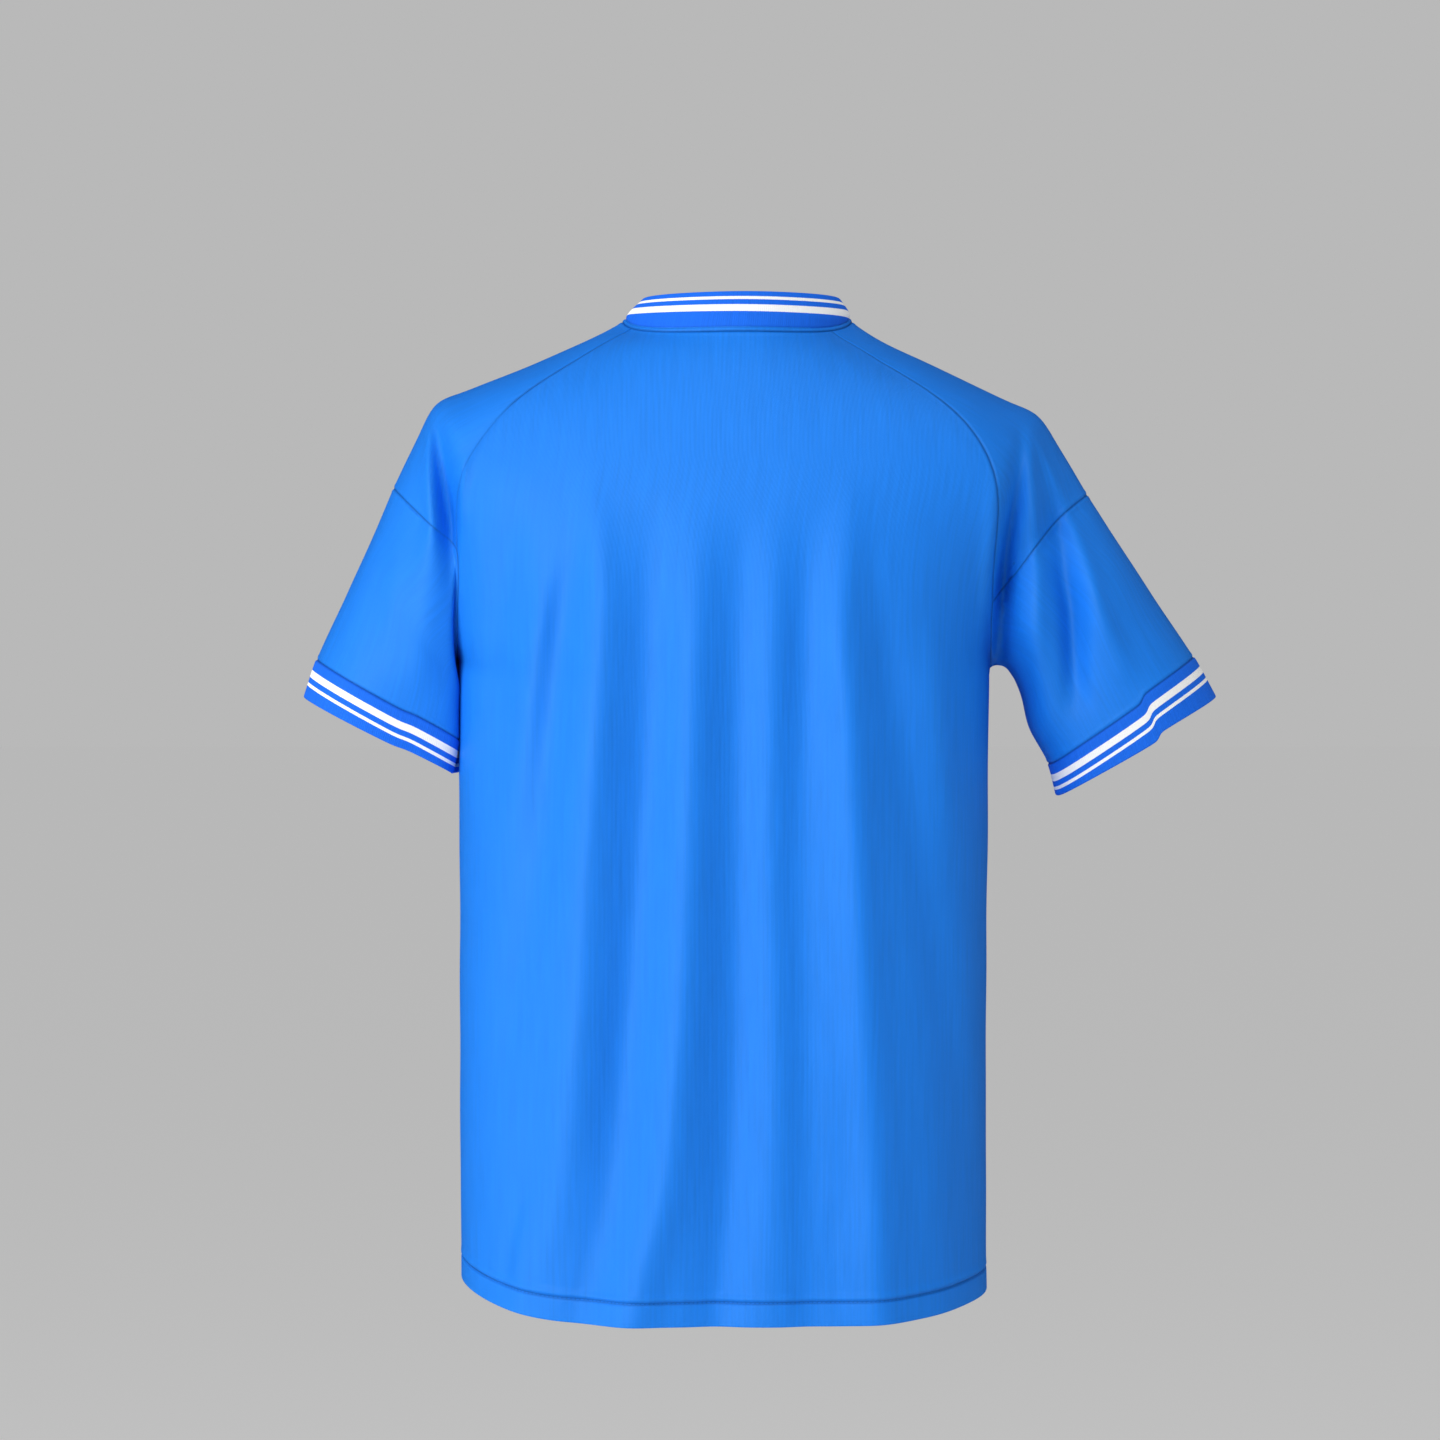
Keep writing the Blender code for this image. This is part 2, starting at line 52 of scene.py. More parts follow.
# How many faces a stretch of cloth is divided into.
PANEL_COLUMNS = 16  # from the centre line of a panel to its edge
SEAM_ROWS = 14  # hem to underarm
ARMHOLE_ROWS = 5  # underarm to drop seam
RAGLAN_ROWS = 11  # drop seam to collar
DROP_ROW = SEAM_ROWS + ARMHOLE_ROWS
YOKE_COLUMNS = 10  # raglan seam to the top of the shoulder
ARM_COLUMNS = 2 * (YOKE_COLUMNS + ARMHOLE_ROWS)  # round the arm
SLEEVE_ROWS = (1, 3, 3, 2)  # drop seam to bridge, and on to each section of the sleeve
CUFF_ROWS = 2
COLLAR_ROWS = 3
SPREAD_STEPS = 12  # evens out how far apart a panel's rows are along its middle
FINE = 160  # points on a curve before it is divided evenly


def table(columns, *rows):
    """A short table of numbers, as one array for each named column."""
    return dict(zip(columns.split(), np.array(rows, float).T))


def points_of(rows, columns="x y z"):
    return np.column_stack([rows[name] for name in columns.split()])


# The collar's seam and its rim: half the width, the reach behind and before the neck, how far the middle
# lies to the right, and three heights.
COLLAR_SEAM = {"half_width": 82.0, "behind": 70.0, "before": 88.0, "aside": 0.0}
COLLAR_SEAM |= {"back": 0.0, "side": 16.0, "front": -70.0}
COLLAR_RIM = {"half_width": 70.0, "behind": 61.0, "before": 73.0, "aside": 3.0}
COLLAR_RIM |= {"back": 29.0, "side": 30.0, "front": -47.0}
COLLAR_CURVE = 1.9  # how late the ring rises from the centre back to the side
COLLAR_SOFTNESS = 4.0  # the ring turns down at the side of the neck this far below the peak
COLLAR_BOW = 1.2  # the band's middle stands out by this

# Where the raglan seams meet the collar, in degrees from the centre back.
NECK_ANGLES = {"left": {"back": 66.0, "front": 116.0}, "right": {"back": 54.0, "front": 116.0}}

# The centre lines, from the hem to the collar.
CENTRE_BACK = table(
    "z    y",
    (-692, -128),
    (-600, -125),
    (-450, -122),
    (-300, -122),
    (-200, -121),
    (-140, -117),
    (-95, -110),
    (-55, -99),
    (-25, -86),
    (0, -70),
)
CENTRE_FRONT = table(
    "z    y",
    (-678, 131),
    (-500, 131),
    (-350, 133),
    (-250, 134),
    (-190, 130),
    (-140, 119),
    (-100, 104),
    (-70, 88),
)

# The side seams, from the hem to the underarm.
SIDE_SEAMS = {
    "left": table(
        "x      y  z",
        (-197.3, 4, -671),
        (-197.8, 4, -600),
        (-198.4, 5, -450),
        (-198.9, 5, -330),
        (-199.5, 5, -270),
        (-199.8, 5, -232),
    ),
    "right": table(
        "x      y  z",
        (178.5, 4, -680),
        (178.0, 4, -600),
        (178.5, 5, -450),
        (179.5, 5, -330),
        (180.0, 5, -270),
        (181.0, 5, -235),
    ),
}

# Where the drop seam meets the raglan seam, in points counted from the underarm.
DROP_SEAM_KNOTS = {"left": 3, "right": 2}

# The raglan seams below the collar, and the armholes under them, down to the underarm.
RAGLANS = {
    "left": {
        "back": table(
            "x       y     z",
            (-99.2, -50, -9.7),
            (-121.4, -63, -24.6),
            (-146.3, -75, -41.7),
            (-163.5, -82, -57.0),
            (-182.8, -87, -83.2),
            (-193.3, -87, -100.6),
            (-197.1, -83, -120.0),
            (-197.8, -72, -154.5),
            (-198.0, -55, -190.0),
            (-198.3, -39, -222.5),
        ),
        "front": table(
            "x       y    z",
            (-101, 65, -44),
            (-134, 87, -69),
            (-163, 98, -96),
            (-182, 98, -122),
            (-192, 87, -152),
            (-197.6, 62, -188),
            (-198.6, 35, -219),
        ),
    },
    "right": {
        "back": table(
            "x       y     z",
            (100.0, -60, -20.5),
            (135.9, -76, -43.7),
            (158.5, -84, -63.4),
            (172.3, -88, -83.2),
            (180.7, -88, -103.5),
            (182.9, -85, -120.8),
            (181.6, -74, -150.4),
            (180.0, -55, -191.0),
            (180.0, -28, -223.0),
        ),
        "front": table(
            "x      y    z",
            (100, 65, -44),
            (130, 87, -71),
            (154, 98, -98),
            (170, 98, -125),
            (177, 87, -155),
            (180, 62, -190),
            (180, 35, -222),
        ),
    },
}

# The top of the shoulder and of the arm, from beside the collar to the drop seam.
SHOULDER_LINES = {
    "left": table(
        "x       y   z",
        (-97.0, -1, 4.0),
        (-137.0, -3, -14.6),
        (-180.0, -4, -32.4),
        (-206.0, -5, -43.0),
        (-216.0, -5, -47.8),
        (-221.5, -5, -57.0),
        (-246.2, -5, -107.7),
    ),
    "right": table(
        "x      y   z",
        (97.0, -1, 2.0),
        (135.0, -3, -17.0),
        (176.0, -4, -37.0),
        (206.0, -5, -50.6),
        (216.0, -5, -55.8),
        (222.5, -5, -65.0),
        (251.3, -5, -112.0),
    ),
}
SHOULDER_POINT = 5  # the bend at the end of the shoulder, counted from the collar
SHOULDER_ROWS = 8  # collar to shoulder point
YOKE_FULLNESS = table(
    "along  share",  # along the shoulder line, and how far the cloth keeps out before it turns down
    (0.0, 0.53),
    (0.35, 0.62),
    (0.7, 0.84),
    (1.0, 0.97),
)
DROP_SEAM_BOWS = {"left": 0.0, "right": 6.0}  # how far the drop seam bends up beside the arm
BOW_ROWS = 4  # rows of the shoulder piece that bend with it

# Sections of the sleeve: its outer and inner points, the arm's centre, half the depth, and how flat the side
# beside the body is.
SLEEVES = {
    "left": table(
        "outer_x outer_z inner_x inner_z y   half_depth flatness",
        (-265.0, -149.0, -201.9, -250.0, 5, 63, 0.9),
        (-283.6, -190.0, -202.2, -272.0, 6, 61, 0.9),
        (-302.4, -230.0, -202.4, -288.0, 7, 60, 0.9),
        (-311.8, -257.4, -205.0, -312.0, 8, 59, 0.8),
    ),
    "right": table(
        "outer_x outer_z inner_x inner_z y   half_depth flatness",
        (277.0, -151.0, 202.0, -246.0, 5, 61, 0.4),
        (303.0, -190.0, 212.5, -281.0, 7, 57, 0.4),
        (329.0, -228.0, 226.0, -305.0, 9, 55, 0.4),
        (344.9, -257.4, 231.8, -328.0, 10, 54, 0.3),
    ),
}
SIDE_NARROWNESS = 4  # the higher, the less of the section that side takes up
SIDE_SHARPNESS = 0.7  # of the two edges of that side
SIDE_WRAP = 15.0  # how far they reach round the body
SIDE_WRAP_ONSET = 4  # the higher, the flatter the side has to be for that
UNDERARM_BRIDGES = {"left": 2.2, "right": 11.0}  # the sleeve leaves the body level before it turns down

# Sections of the panels, from the hem to the collar: how square they are, where they are widest, and how
# much they follow the hem, which rises towards the sides.
PANEL_SECTIONS = table(
    "row  squareness widest_y hem_share",
    (0, 2.8, 4, 1),
    (SEAM_ROWS, 2.8, 5, 0),
    (DROP_ROW, 2.6, 5, 0),
    (DROP_ROW + RAGLAN_ROWS / 2, 2.1, 3, 0),
    (DROP_ROW + RAGLAN_ROWS, 2.0, 0, 0),
)
HEM_CURVE = 4.5

RELAX_STEPS = 4
RELAX_REACH = 24.0  # how far from a raglan seam the cloth is smoothed
RELAX_PULL = 0.5
RELAX_PUSH = -0.52


def unit(vectors):
    return vectors / np.linalg.norm(vectors, axis=-1, keepdims=True)


def running_total(steps):
    return np.concatenate([[0.0], np.cumsum(steps)])


def reach_along(points, axis=0):
    """The length from the start of a line, or of each line of a grid, to each of its points."""
    steps = np.diff(points, axis=axis, prepend=np.take(points, [0], axis=axis))
    return np.cumsum(np.linalg.norm(steps, axis=-1), axis=axis)


def evenly(points, steps):
    """Points spaced evenly along a finely divided curve."""
    reach = reach_along(points)
    wanted = np.linspace(0.0, reach[-1], steps + 1)
    return np.column_stack([np.interp(wanted, reach, column) for column in points.T])


def curve(rows, first=0, last=-1):
    """A finely divided smooth curve through the rows, between two of them."""
    rows = np.asarray(rows, float)
    knots = reach_along(rows)
    slopes = np.gradient(rows, knots, axis=0)
    at = np.linspace(knots[first], knots[last], FINE)
    span = np.clip(np.searchsorted(knots, at, side="right") - 1, 0, len(rows) - 2)
    width = (knots[span + 1] - knots[span])[:, None]
    part = (at - knots[span])[:, None] / width
    start = rows[span] * (1 + 2 * part) + width * slopes[span] * part
    end = rows[span + 1] * (3 - 2 * part) - width * slopes[span + 1] * (1 - part)
    return start * (1 - part) ** 2 + end * part**2


def neck_point(ring, degrees):
    """A point of the collar's seam or rim, at an angle from the centre back towards the wearer's right."""
    behind = math.cos(math.radians(degrees))
    reach = ring["behind"] if behind > 0 else ring["before"]
    back = ring["back"] + (ring["side"] - ring["back"]) * (1 - behind) ** COLLAR_CURVE
    front = ring["side"] + (ring["side"] - ring["front"]) * behind
    height = (back + front) / 2 - math.hypot((back - front) / 2, COLLAR_SOFTNESS)
    x = ring["aside"] + ring["half_width"] * math.sin(math.radians(degrees))
    return np.array([x, -reach * behind, height])


def angle_at(point):
    """The angle of a point of the collar's seam, as neck_point takes it."""
    reach = COLLAR_SEAM["behind"] if point[1] < 0 else COLLAR_SEAM["before"]
    return math.degrees(math.atan2(point[0] / COLLAR_SEAM["half_width"], -point[1] / reach))


def sign_of(side):
    return -1 if side == "left" else 1


def side_edge(side, face):
    """One edge of a panel from the hem up: side seam, armhole and raglan seam."""
    seam = points_of(SIDE_SEAMS[side])
    junction = neck_point(COLLAR_SEAM, sign_of(side) * NECK_ANGLES[side][face])
    upper = np.vstack([seam[-1], points_of(RAGLANS[side][face])[::-1], junction])
    knot = DROP_SEAM_KNOTS[side]
    return np.vstack(
        [
            evenly(curve(seam), SEAM_ROWS)[:-1],
            evenly(curve(upper, 0, knot), ARMHOLE_ROWS)[:-1],
            evenly(curve(upper, knot), RAGLAN_ROWS),
        ]
    )


def half_row(centre, end, squareness, widest_y, hem_share):
    """Evenly spaced points from a panel's centre line to its edge, on part of a squared oval."""
    power = 2 / squareness
    depth = max(0.0, (end[1] - widest_y) / (centre[1] - widest_y))
    fullness = math.acos(depth ** (1 / power))
    turn = np.linspace(0, fullness, FINE)
    across = (np.sin(turn) / math.sin(fullness)) ** power
    inward = (1 - np.cos(turn) ** power) / (1 - math.cos(fullness) ** power)
    x = centre[0] + (end[0] - centre[0]) * across
    y = centre[1] + (end[1] - centre[1]) * inward
    z = centre[2] + (end[2] - centre[2]) * (inward + hem_share * (across**HEM_CURVE - inward))
    return evenly(np.column_stack([x, y, z]), PANEL_COLUMNS)


def centre_line(left, right, profile, collar_height):
    """The middle of each row of a panel, on the profile and as high as the row's ends call for."""
    ends = (left + right) / 2
    hem, drop, neck = ends[[0, DROP_ROW, -1], 2]
    above = drop + (collar_height - drop) * (ends[:, 2] - drop) / (neck - drop)
    below = profile["z"][0] + (drop - profile["z"][0]) * (ends[:, 2] - hem) / (drop - hem)
    height = np.where(np.arange(len(ends)) > DROP_ROW, above, below)
    for _ in range(SPREAD_STEPS):
        height[1:-1] = (height[:-2] + 2 * height[1:-1] + height[2:]) / 4
    fine = curve(points_of(profile, "z y"))
    middle = ends[:, 0] * np.clip((collar_height - height) / abs(drop), 0, 1)
    return np.column_stack([middle, np.interp(height, fine[:, 0], fine[:, 1]), height])


def panel(face):
    """The grid of the back or front panel, rows from the hem up and columns from left to right."""
    edges = [side_edge(side, face) for side in ("left", "right")]
    profile = CENTRE_BACK if face == "back" else CENTRE_FRONT
    middle = centre_line(*edges, profile, COLLAR_SEAM[face])
    rows = np.arange(len(middle))
    sections = [np.interp(rows, PANEL_SECTIONS["row"], column) for column in PANEL_SECTIONS.values()][1:]
    left, right = (np.array([half_row(*row) for row in zip(middle, edge, *sections)]) for edge in edges)
    return np.concatenate([left[:, ::-1], right[:, 1:]], axis=1)


def quarter(edge, top, share):
    """Points from a raglan seam to the top of the shoulder, on a quarter of an oval."""
    corner = top + np.array([0, share * (edge[1] - top[1]), 0])
    turn = np.linspace(0, math.pi / 2, FINE)[:, None]
    arc = corner + (edge - corner) * (1 - np.sin(turn)) + (top - corner) * (1 - np.cos(turn))
    return evenly(arc, YOKE_COLUMNS)


def yoke(side, back_edge, front_edge):
    """The grid of a shoulder piece, rows from the drop seam to the collar and columns from back to front."""
    beside_neck = neck_point(COLLAR_SEAM, sign_of(side) * 90)
    line = np.vstack([beside_neck, points_of(SHOULDER_LINES[side])])
    level = evenly(curve(line, 0, SHOULDER_POINT), SHOULDER_ROWS)
    tops = np.vstack([level, evenly(curve(line, SHOULDER_POINT), RAGLAN_ROWS - SHOULDER_ROWS)[1:]])[::-1]
    shares = np.interp(np.linspace(1, 0, RAGLAN_ROWS + 1), YOKE_FULLNESS["along"], YOKE_FULLNESS["share"])
    rows = []
    for back, top, front, share in zip(back_edge, tops, front_edge, shares):
        rows.append(np.vstack([quarter(back, top, share)[:-1], quarter(front, top, share)[::-1]]))
    rows = np.array(rows)
    up = unit(np.gradient(rows, axis=0))
    across = np.sin(np.linspace(0, 2 * math.pi, 2 * YOKE_COLUMNS + 1)) ** 2
    fade = np.clip(1 - np.arange(len(rows)) / BOW_ROWS, 0, 1)
    return rows + DROP_SEAM_BOWS[side] * (fade[:, None] * across)[:, :, None] * up


def sleeve_section(outer_x, outer_z, inner_x, inner_z, y, half_depth, flatness):
    """A ring round the arm that starts and ends where the raglan seam meets the drop seam at the back."""
    turn = 2 * math.pi * (np.arange(ARM_COLUMNS + 1) - YOKE_COLUMNS) / ARM_COLUMNS
    across = (1 + np.cos(turn)) / 2
    depth = np.abs(np.sin(turn)) ** (1 - SIDE_SHARPNESS * flatness * (1 - across))
    across = across * (1 - flatness * (1 - across) ** SIDE_NARROWNESS)
    x = inner_x + (outer_x - inner_x) * across
    x = x - np.sign(x) * SIDE_WRAP * flatness**SIDE_WRAP_ONSET * (1 - across) ** 2 * depth**2
    z = inner_z + (outer_z - inner_z) * across
    return np.column_stack([x, y + half_depth * np.sign(np.sin(turn)) * depth, z])


def bridge(top, section, side):
    """The ring just below the armhole: level with it under the arm, and towards the first section above."""
    down = unit(section - top)
    columns = np.arange(len(top))
    under = np.clip(1 - np.abs(columns - 2 * YOKE_COLUMNS - ARMHOLE_ROWS) / ARMHOLE_ROWS, 0, 1)[:, None]
    outward = np.array([sign_of(side), 0, 0])
    leave = down * (1 - under) + outward * under
    return top + UNDERARM_BRIDGES[side] * unit(leave)


def sleeve(side, drop_seam, back_hole, front_hole):
    """The grids of a sleeve and its cuff, rows from below up and columns from the back over the arm."""
    top = np.vstack([drop_seam, front_hole[::-1][1:], back_hole[1:]])
    sections = [sleeve_section(*row) for row in zip(*SLEEVES[side].values())]
    rings = np.stack([top, bridge(top, sections[0], side)] + sections, axis=1)
    counts = SLEEVE_ROWS + (CUFF_ROWS,)
    lines = []
    for line in rings:
        stretches = [evenly(curve(line, part, part + 1), count)[1:] for part, count in enumerate(counts)]
        lines.append(np.vstack([line[0]] + stretches))
    grid = np.stack(lines, axis=1)[::-1]
    return grid[CUFF_ROWS:], grid[: CUFF_ROWS + 1]


def collar(seam_ring):
    """The grid of the collar band, from its seam up to its rim."""
    rim = np.array([neck_point(COLLAR_RIM, angle_at(point)) for point in seam_ring])
    outward = unit(seam_ring * (1, 1, 0))
    part = np.linspace(0, 1, COLLAR_ROWS + 1)[:, None, None]
    return seam_ring + (rim - seam_ring) * part + outward * COLLAR_BOW * np.sin(math.pi * part)


def garment():
    """The grid of each piece. Columns go round to the left seen from above, so faces point out."""
    back = panel("back")
    front = panel("front")
    pieces = {"back_panel": back, "front_panel": front[:, ::-1]}
    for side, column in (("left", 0), ("right", -1)):
        back_edge = back[:, column]
        front_edge = front[:, column]
        shoulder = yoke(side, back_edge[DROP_ROW:], front_edge[DROP_ROW:])
        holes = back_edge[SEAM_ROWS : DROP_ROW + 1], front_edge[SEAM_ROWS : DROP_ROW + 1]
        arm, cuff = sleeve(side, shoulder[0], *holes)
        for name, grid in (("shoulder_yoke", shoulder), ("sleeve", arm), ("cuff", cuff)):
            pieces[f"{name}_{side}"] = grid[:, ::-1] if side == "left" else grid
    round_neck = ("back_panel", "shoulder_yoke_right", "front_panel", "shoulder_yoke_left")
    for name in round_neck:
        pieces[name][-1] = [neck_point(COLLAR_SEAM, angle_at(point)) for point in pieces[name][-1]]
    ring = [pieces[name][-1, :-1] for name in round_neck[:-1]] + [pieces[round_neck[-1]][-1]]
    pieces["collar"] = collar(np.vstack(ring))
    return pieces


def weld(pieces):
    """One shared set of points, and each piece as a grid of indices into it."""
    keys = {}
    points = []
    grids = {}
    for name, grid in pieces.items():
        index = np.empty(grid.shape[:2], int)
        for place in np.ndindex(*index.shape):
            key = tuple(np.round(grid[place], 3))
            if key not in keys:
                keys[key] = len(points)
                points.append(grid[place])
            index[place] = keys[key]
        grids[name] = index
    return np.array(points), grids


def quads_of(index):
    """The faces of a grid of indices."""
    corners = (index[:-1, :-1], index[:-1, 1:], index[1:, 1:], index[1:, :-1])
    return np.stack(corners, axis=-1).reshape(-1, 4)


def all_quads(grids):
    return np.concatenate([quads_of(grid) for grid in grids.values()])


def edges_of(quads):
    """The faces' edges, each of them once, and which of them lies along each side of each face."""
    pairs = np.stack([quads, np.roll(quads, -1, axis=1)], axis=-1).reshape(-1, 2)
    edges, edge_of = np.unique(np.sort(pairs, axis=1), axis=0, return_inverse=True)
    return edges, edge_of.ravel()


def sums_at(index, values, count):
    total = np.zeros((count, 3))
    np.add.at(total, index, values)
    return total


def normals_of(points, grids):
    """Normals of the shared points, over all the pieces together."""
    quads = all_quads(grids)
    corners = points[quads]
    across = unit(np.cross(corners[:, 2] - corners[:, 0], corners[:, 3] - corners[:, 1]))
    return unit(sums_at(quads.ravel(), np.repeat(across, 4, axis=0), len(points)))


def relax(points, grids):
    """Smooths the cloth across the raglan seams and armholes, and keeps its size."""
    arms = [grid.ravel() for name, grid in grids.items() if name.startswith(("shoulder", "sleeve"))]
    panels = [grid.ravel() for name, grid in grids.items() if name.endswith("panel")]
    seam = np.intersect1d(np.concatenate(arms), np.concatenate(panels))
    away = np.linalg.norm(points[:, None] - points[None, seam], axis=2).min(axis=1)
    weight = np.exp(-((away / RELAX_REACH) ** 2))
    weight[grids["collar"]] = 0
    edges, _ = edges_of(all_quads(grids))
    count = np.bincount(edges.ravel(), minlength=len(points))[:, None]
    for _ in range(RELAX_STEPS):
        for strength in (RELAX_PULL, RELAX_PUSH):
            total = sums_at(edges.ravel(), points[edges[:, ::-1].ravel()], len(points))
            points = points + strength * weight[:, None] * (total / count - points)
    return points


def eased(share):
    share = np.clip(share, 0, 1)
    return share * share * (3 - 2 * share)


def is_rib(name):
    return name.startswith(("collar", "cuff"))


# ---------------------------------------------------------------- from the cage to a smooth, fine surface

LEVELS = 2  # times that the cage is subdivided
CELL = 2**LEVELS  # fine cells to a cage cell
FITTING_ROUNDS = 4
RING_LAP = 3  # points of a ring that are repeated beyond each of its ends
BORDER_CELLS = 8  # fine cells over which a border's own division fades out


def subdivided(points, grids):
    """One Catmull-Clark step over pieces that share points. The old points keep their numbers."""
    quads = all_quads(grids)
    count = len(points)
    edges, edge_of = edges_of(quads)
    centres = points[quads].mean(axis=1)
    middles = points[edges].mean(axis=1)
    beside = sums_at(edge_of, np.repeat(centres, 4, axis=0), len(edges)) / 2
    rim = np.bincount(edge_of) == 1
    edge_points = np.where(rim[:, None], middles, (middles + beside) / 2)
    corners = quads.ravel()
    ends = edges.ravel()
    faces_at = np.bincount(corners, minlength=count)[:, None]
    edges_at = np.bincount(ends, minlength=count)[:, None]
    face_mean = sums_at(corners, np.repeat(centres, 4, axis=0), count) / faces_at
    edge_mean = sums_at(ends, np.repeat(middles, 2, axis=0), count) / edges_at
    inside = (face_mean + 2 * edge_mean + (edges_at - 3) * points) / edges_at
    rim_ends = edges[rim].ravel()
    rim_mean = (2 * points + sums_at(rim_ends, np.repeat(middles[rim], 2, axis=0), count)) / 4
    on_rim = np.bincount(rim_ends, minlength=count)[:, None] > 0
    result = np.vstack([np.where(on_rim, rim_mean, inside), edge_points, centres])
    finer = {}
    first = 0
    for name, grid in grids.items():
        rows, columns = grid.shape[0] - 1, grid.shape[1] - 1
        faces = np.arange(first, first + rows * columns).reshape(rows, columns)
        sides = count + edge_of.reshape(-1, 4)[faces]
        fine = np.empty((2 * rows + 1, 2 * columns + 1), int)
        fine[::2, ::2] = grid
        fine[:-1:2, 1::2] = sides[:, :, 0]
        fine[-1, 1::2] = sides[-1, :, 2]
        fine[1::2, :-1:2] = sides[:, :, 3]
        fine[1::2, -1] = sides[:, -1, 1]
        fine[1::2, 1::2] = count + len(edges) + faces
        finer[name] = fine
        first += rows * columns
    return result, finer


def smooth(points, grids):
    """The subdivided cage, shaped so that it still passes through the cage's own points."""
    control = points
    for _ in range(FITTING_ROUNDS):
        fine, fine_grids = control, grids
        for _ in range(LEVELS):
            fine, fine_grids = subdivided(fine, fine_grids)
        control = control + points - fine[: len(points)]
    return fine, fine_grids


def spline(values, at, breaks=()):
    """Values between the rows of an array. Each stretch between two breaks depends on its own rows alone."""
    result = np.empty((len(at),) + values.shape[1:])
    knots = sorted({0, len(values) - 1, *breaks})
    for first, last in zip(knots, knots[1:]):
        part = values[first : last + 1]
        slopes = np.gradient(part, axis=0, edge_order=2)
        chosen = (at >= first) & (at <= last)
        low = np.minimum((at[chosen] - first).astype(int), last - first - 1)
        t = (at[chosen] - first - low)[:, None, None]
        start = part[low] * (1 + 2 * t) + slopes[low] * t
        end = part[low + 1] * (3 - 2 * t) - slopes[low + 1] * (1 - t)
        result[chosen] = start * (1 - t) ** 2 + end * t**2
    return result


def resampled(values, at, breaks, ring, at_border):
    """Values between the rows: smooth inside, and in stretches at the borders, to match the next piece."""
    if ring:
        around = np.concatenate([values[-1 - RING_LAP : -1], values, values[1 : 1 + RING_LAP]])
        inside = spline(around, at + RING_LAP)
    else:
        inside = spline(values, at)
    return inside + (spline(values, at, breaks) - inside) * at_border[None, :, None]


def places(cells, step, lines):
    """Places along a grid, counted in cells: a step apart, and closer beside each (cell, distances) line."""
    reach = running_total(cells)
    beside = [reach[cell] + side * np.array(near) for cell, near in lines for side in (-1, 1)]
    marks = np.unique(np.round(np.concatenate(beside + [reach[[0, -1]]]), 3))
    marks = np.unique(np.clip(marks[(marks > -step) & (marks < reach[-1] + step)], 0, reach[-1]))
    filled = [
        np.linspace(start, end, max(1, round((end - start) / step)), endpoint=False)
        for start, end in zip(marks, marks[1:])
    ]
    return np.interp(np.concatenate(filled + [reach[-1:]]), reach, np.arange(len(reach)))


# ---------------------------------------------------------------- the cloth's details, in millimetres

JERSEY_CLOTH = 1.0  # thickness
RIB_CLOTH = 2.0
EDGE_LEFT = 0.12  # of the thickness, where a folded edge has rounded off

# All the steps are distances from a seam or an edge at which the cloth has a line of points.
SEAM_STEPS = (0, 0.35, 0.7, 1.1, 1.6, 2.3, 3.2, 4.4, 5.6, 6.4)
SEAM_HALF_WIDTH = 0.85
SEAM_SINK = 0.05  # below the middle of the cloth
SEAM_ROLL = 0.22  # the cloth stands up beside a seam
SEAM_ROLL_AT = 2.5
SEAM_ROLL_WIDTH = 1.1
FLAT_SEAM = {"x": (-204.0, -160.0), "z": (-140.0, -62.0)}  # pulled smooth, at the left of the back
FLAT_SEAM_FADE = 14.0
FLAT_SEAM_SHARE = 0.25
ALLOWANCE = 6.0  # width of the overlocked edges inside
ALLOWANCE_DEPTH = 0.9
ALLOWANCE_EDGE = 0.5

HEM = 16.5  # height of the stitch line
HEM_STEPS = (0, 0.1, 0.3, 0.6, 1.2, 3, 6, 9, 11.5, 13, 14, 14.7, 15.3, 15.8, 16.3, 16.8, 17.3, 17.8)
HEM_STEPS += (18.5, 19.5, 21, 23, 25.5, 28.5, 32)
HEM_LIFT = 0.15  # two layers lie below the stitches
HEM_GROOVE = 0.95
HEM_GROOVE_WIDTH = 1.1
HEM_ROLL = 1.2  # the single cloth stands out above them
HEM_ROLL_AT = 3.0
HEM_ROLL_WIDTH = 1.8
HEM_PUCKER = 0.4
HEM_CALM = 80.0  # the roll fades out this near to the side seams

FOLD_STEPS = (0, 0.12, 0.35, 0.7, 1.2, 2)
RIB_PITCH = 1.45
RIB_COLUMNS = 4  # across one rib
RIB_HEIGHT = 0.13
RIB_FADE = 1.5  # ribs flatten this near to a seam or a fold
NECK_STRIP = 3.4  # of the body's cloth, between the neck's stitches and the rib
NECK_STRIP_ROLL = 0.55
NECK_STRIP_STEPS = (0, 0.35, 0.7, 1.2, 1.7, 2.2, 2.7, 3.1, 3.4, 3.7, 4.1, 4.8)

# How far apart each kind of piece is divided, up it and across it, and its lower edge. In the cuffs and the
# collar the ribs set the columns.
KINDS = {
    "back": {"row_step": 5.0, "column_step": 3.6, "bottom": "hem"},
    "front": {"row_step": 5.0, "column_step": 3.6, "bottom": "hem"},
    "shoulder": {"row_step": 3.6, "column_step": 2.5, "bottom": "seam"},
    "sleeve": {"row_step": 3.6, "column_step": 2.6, "bottom": "seam"},
    "cuff": {"row_step": 1.5, "bottom": "fold"},
    "collar": {"row_step": 1.5, "bottom": "strip"},
}
EDGE_STEPS = {"hem": HEM_STEPS, "seam": SEAM_STEPS, "fold": FOLD_STEPS, "strip": NECK_STRIP_STEPS}

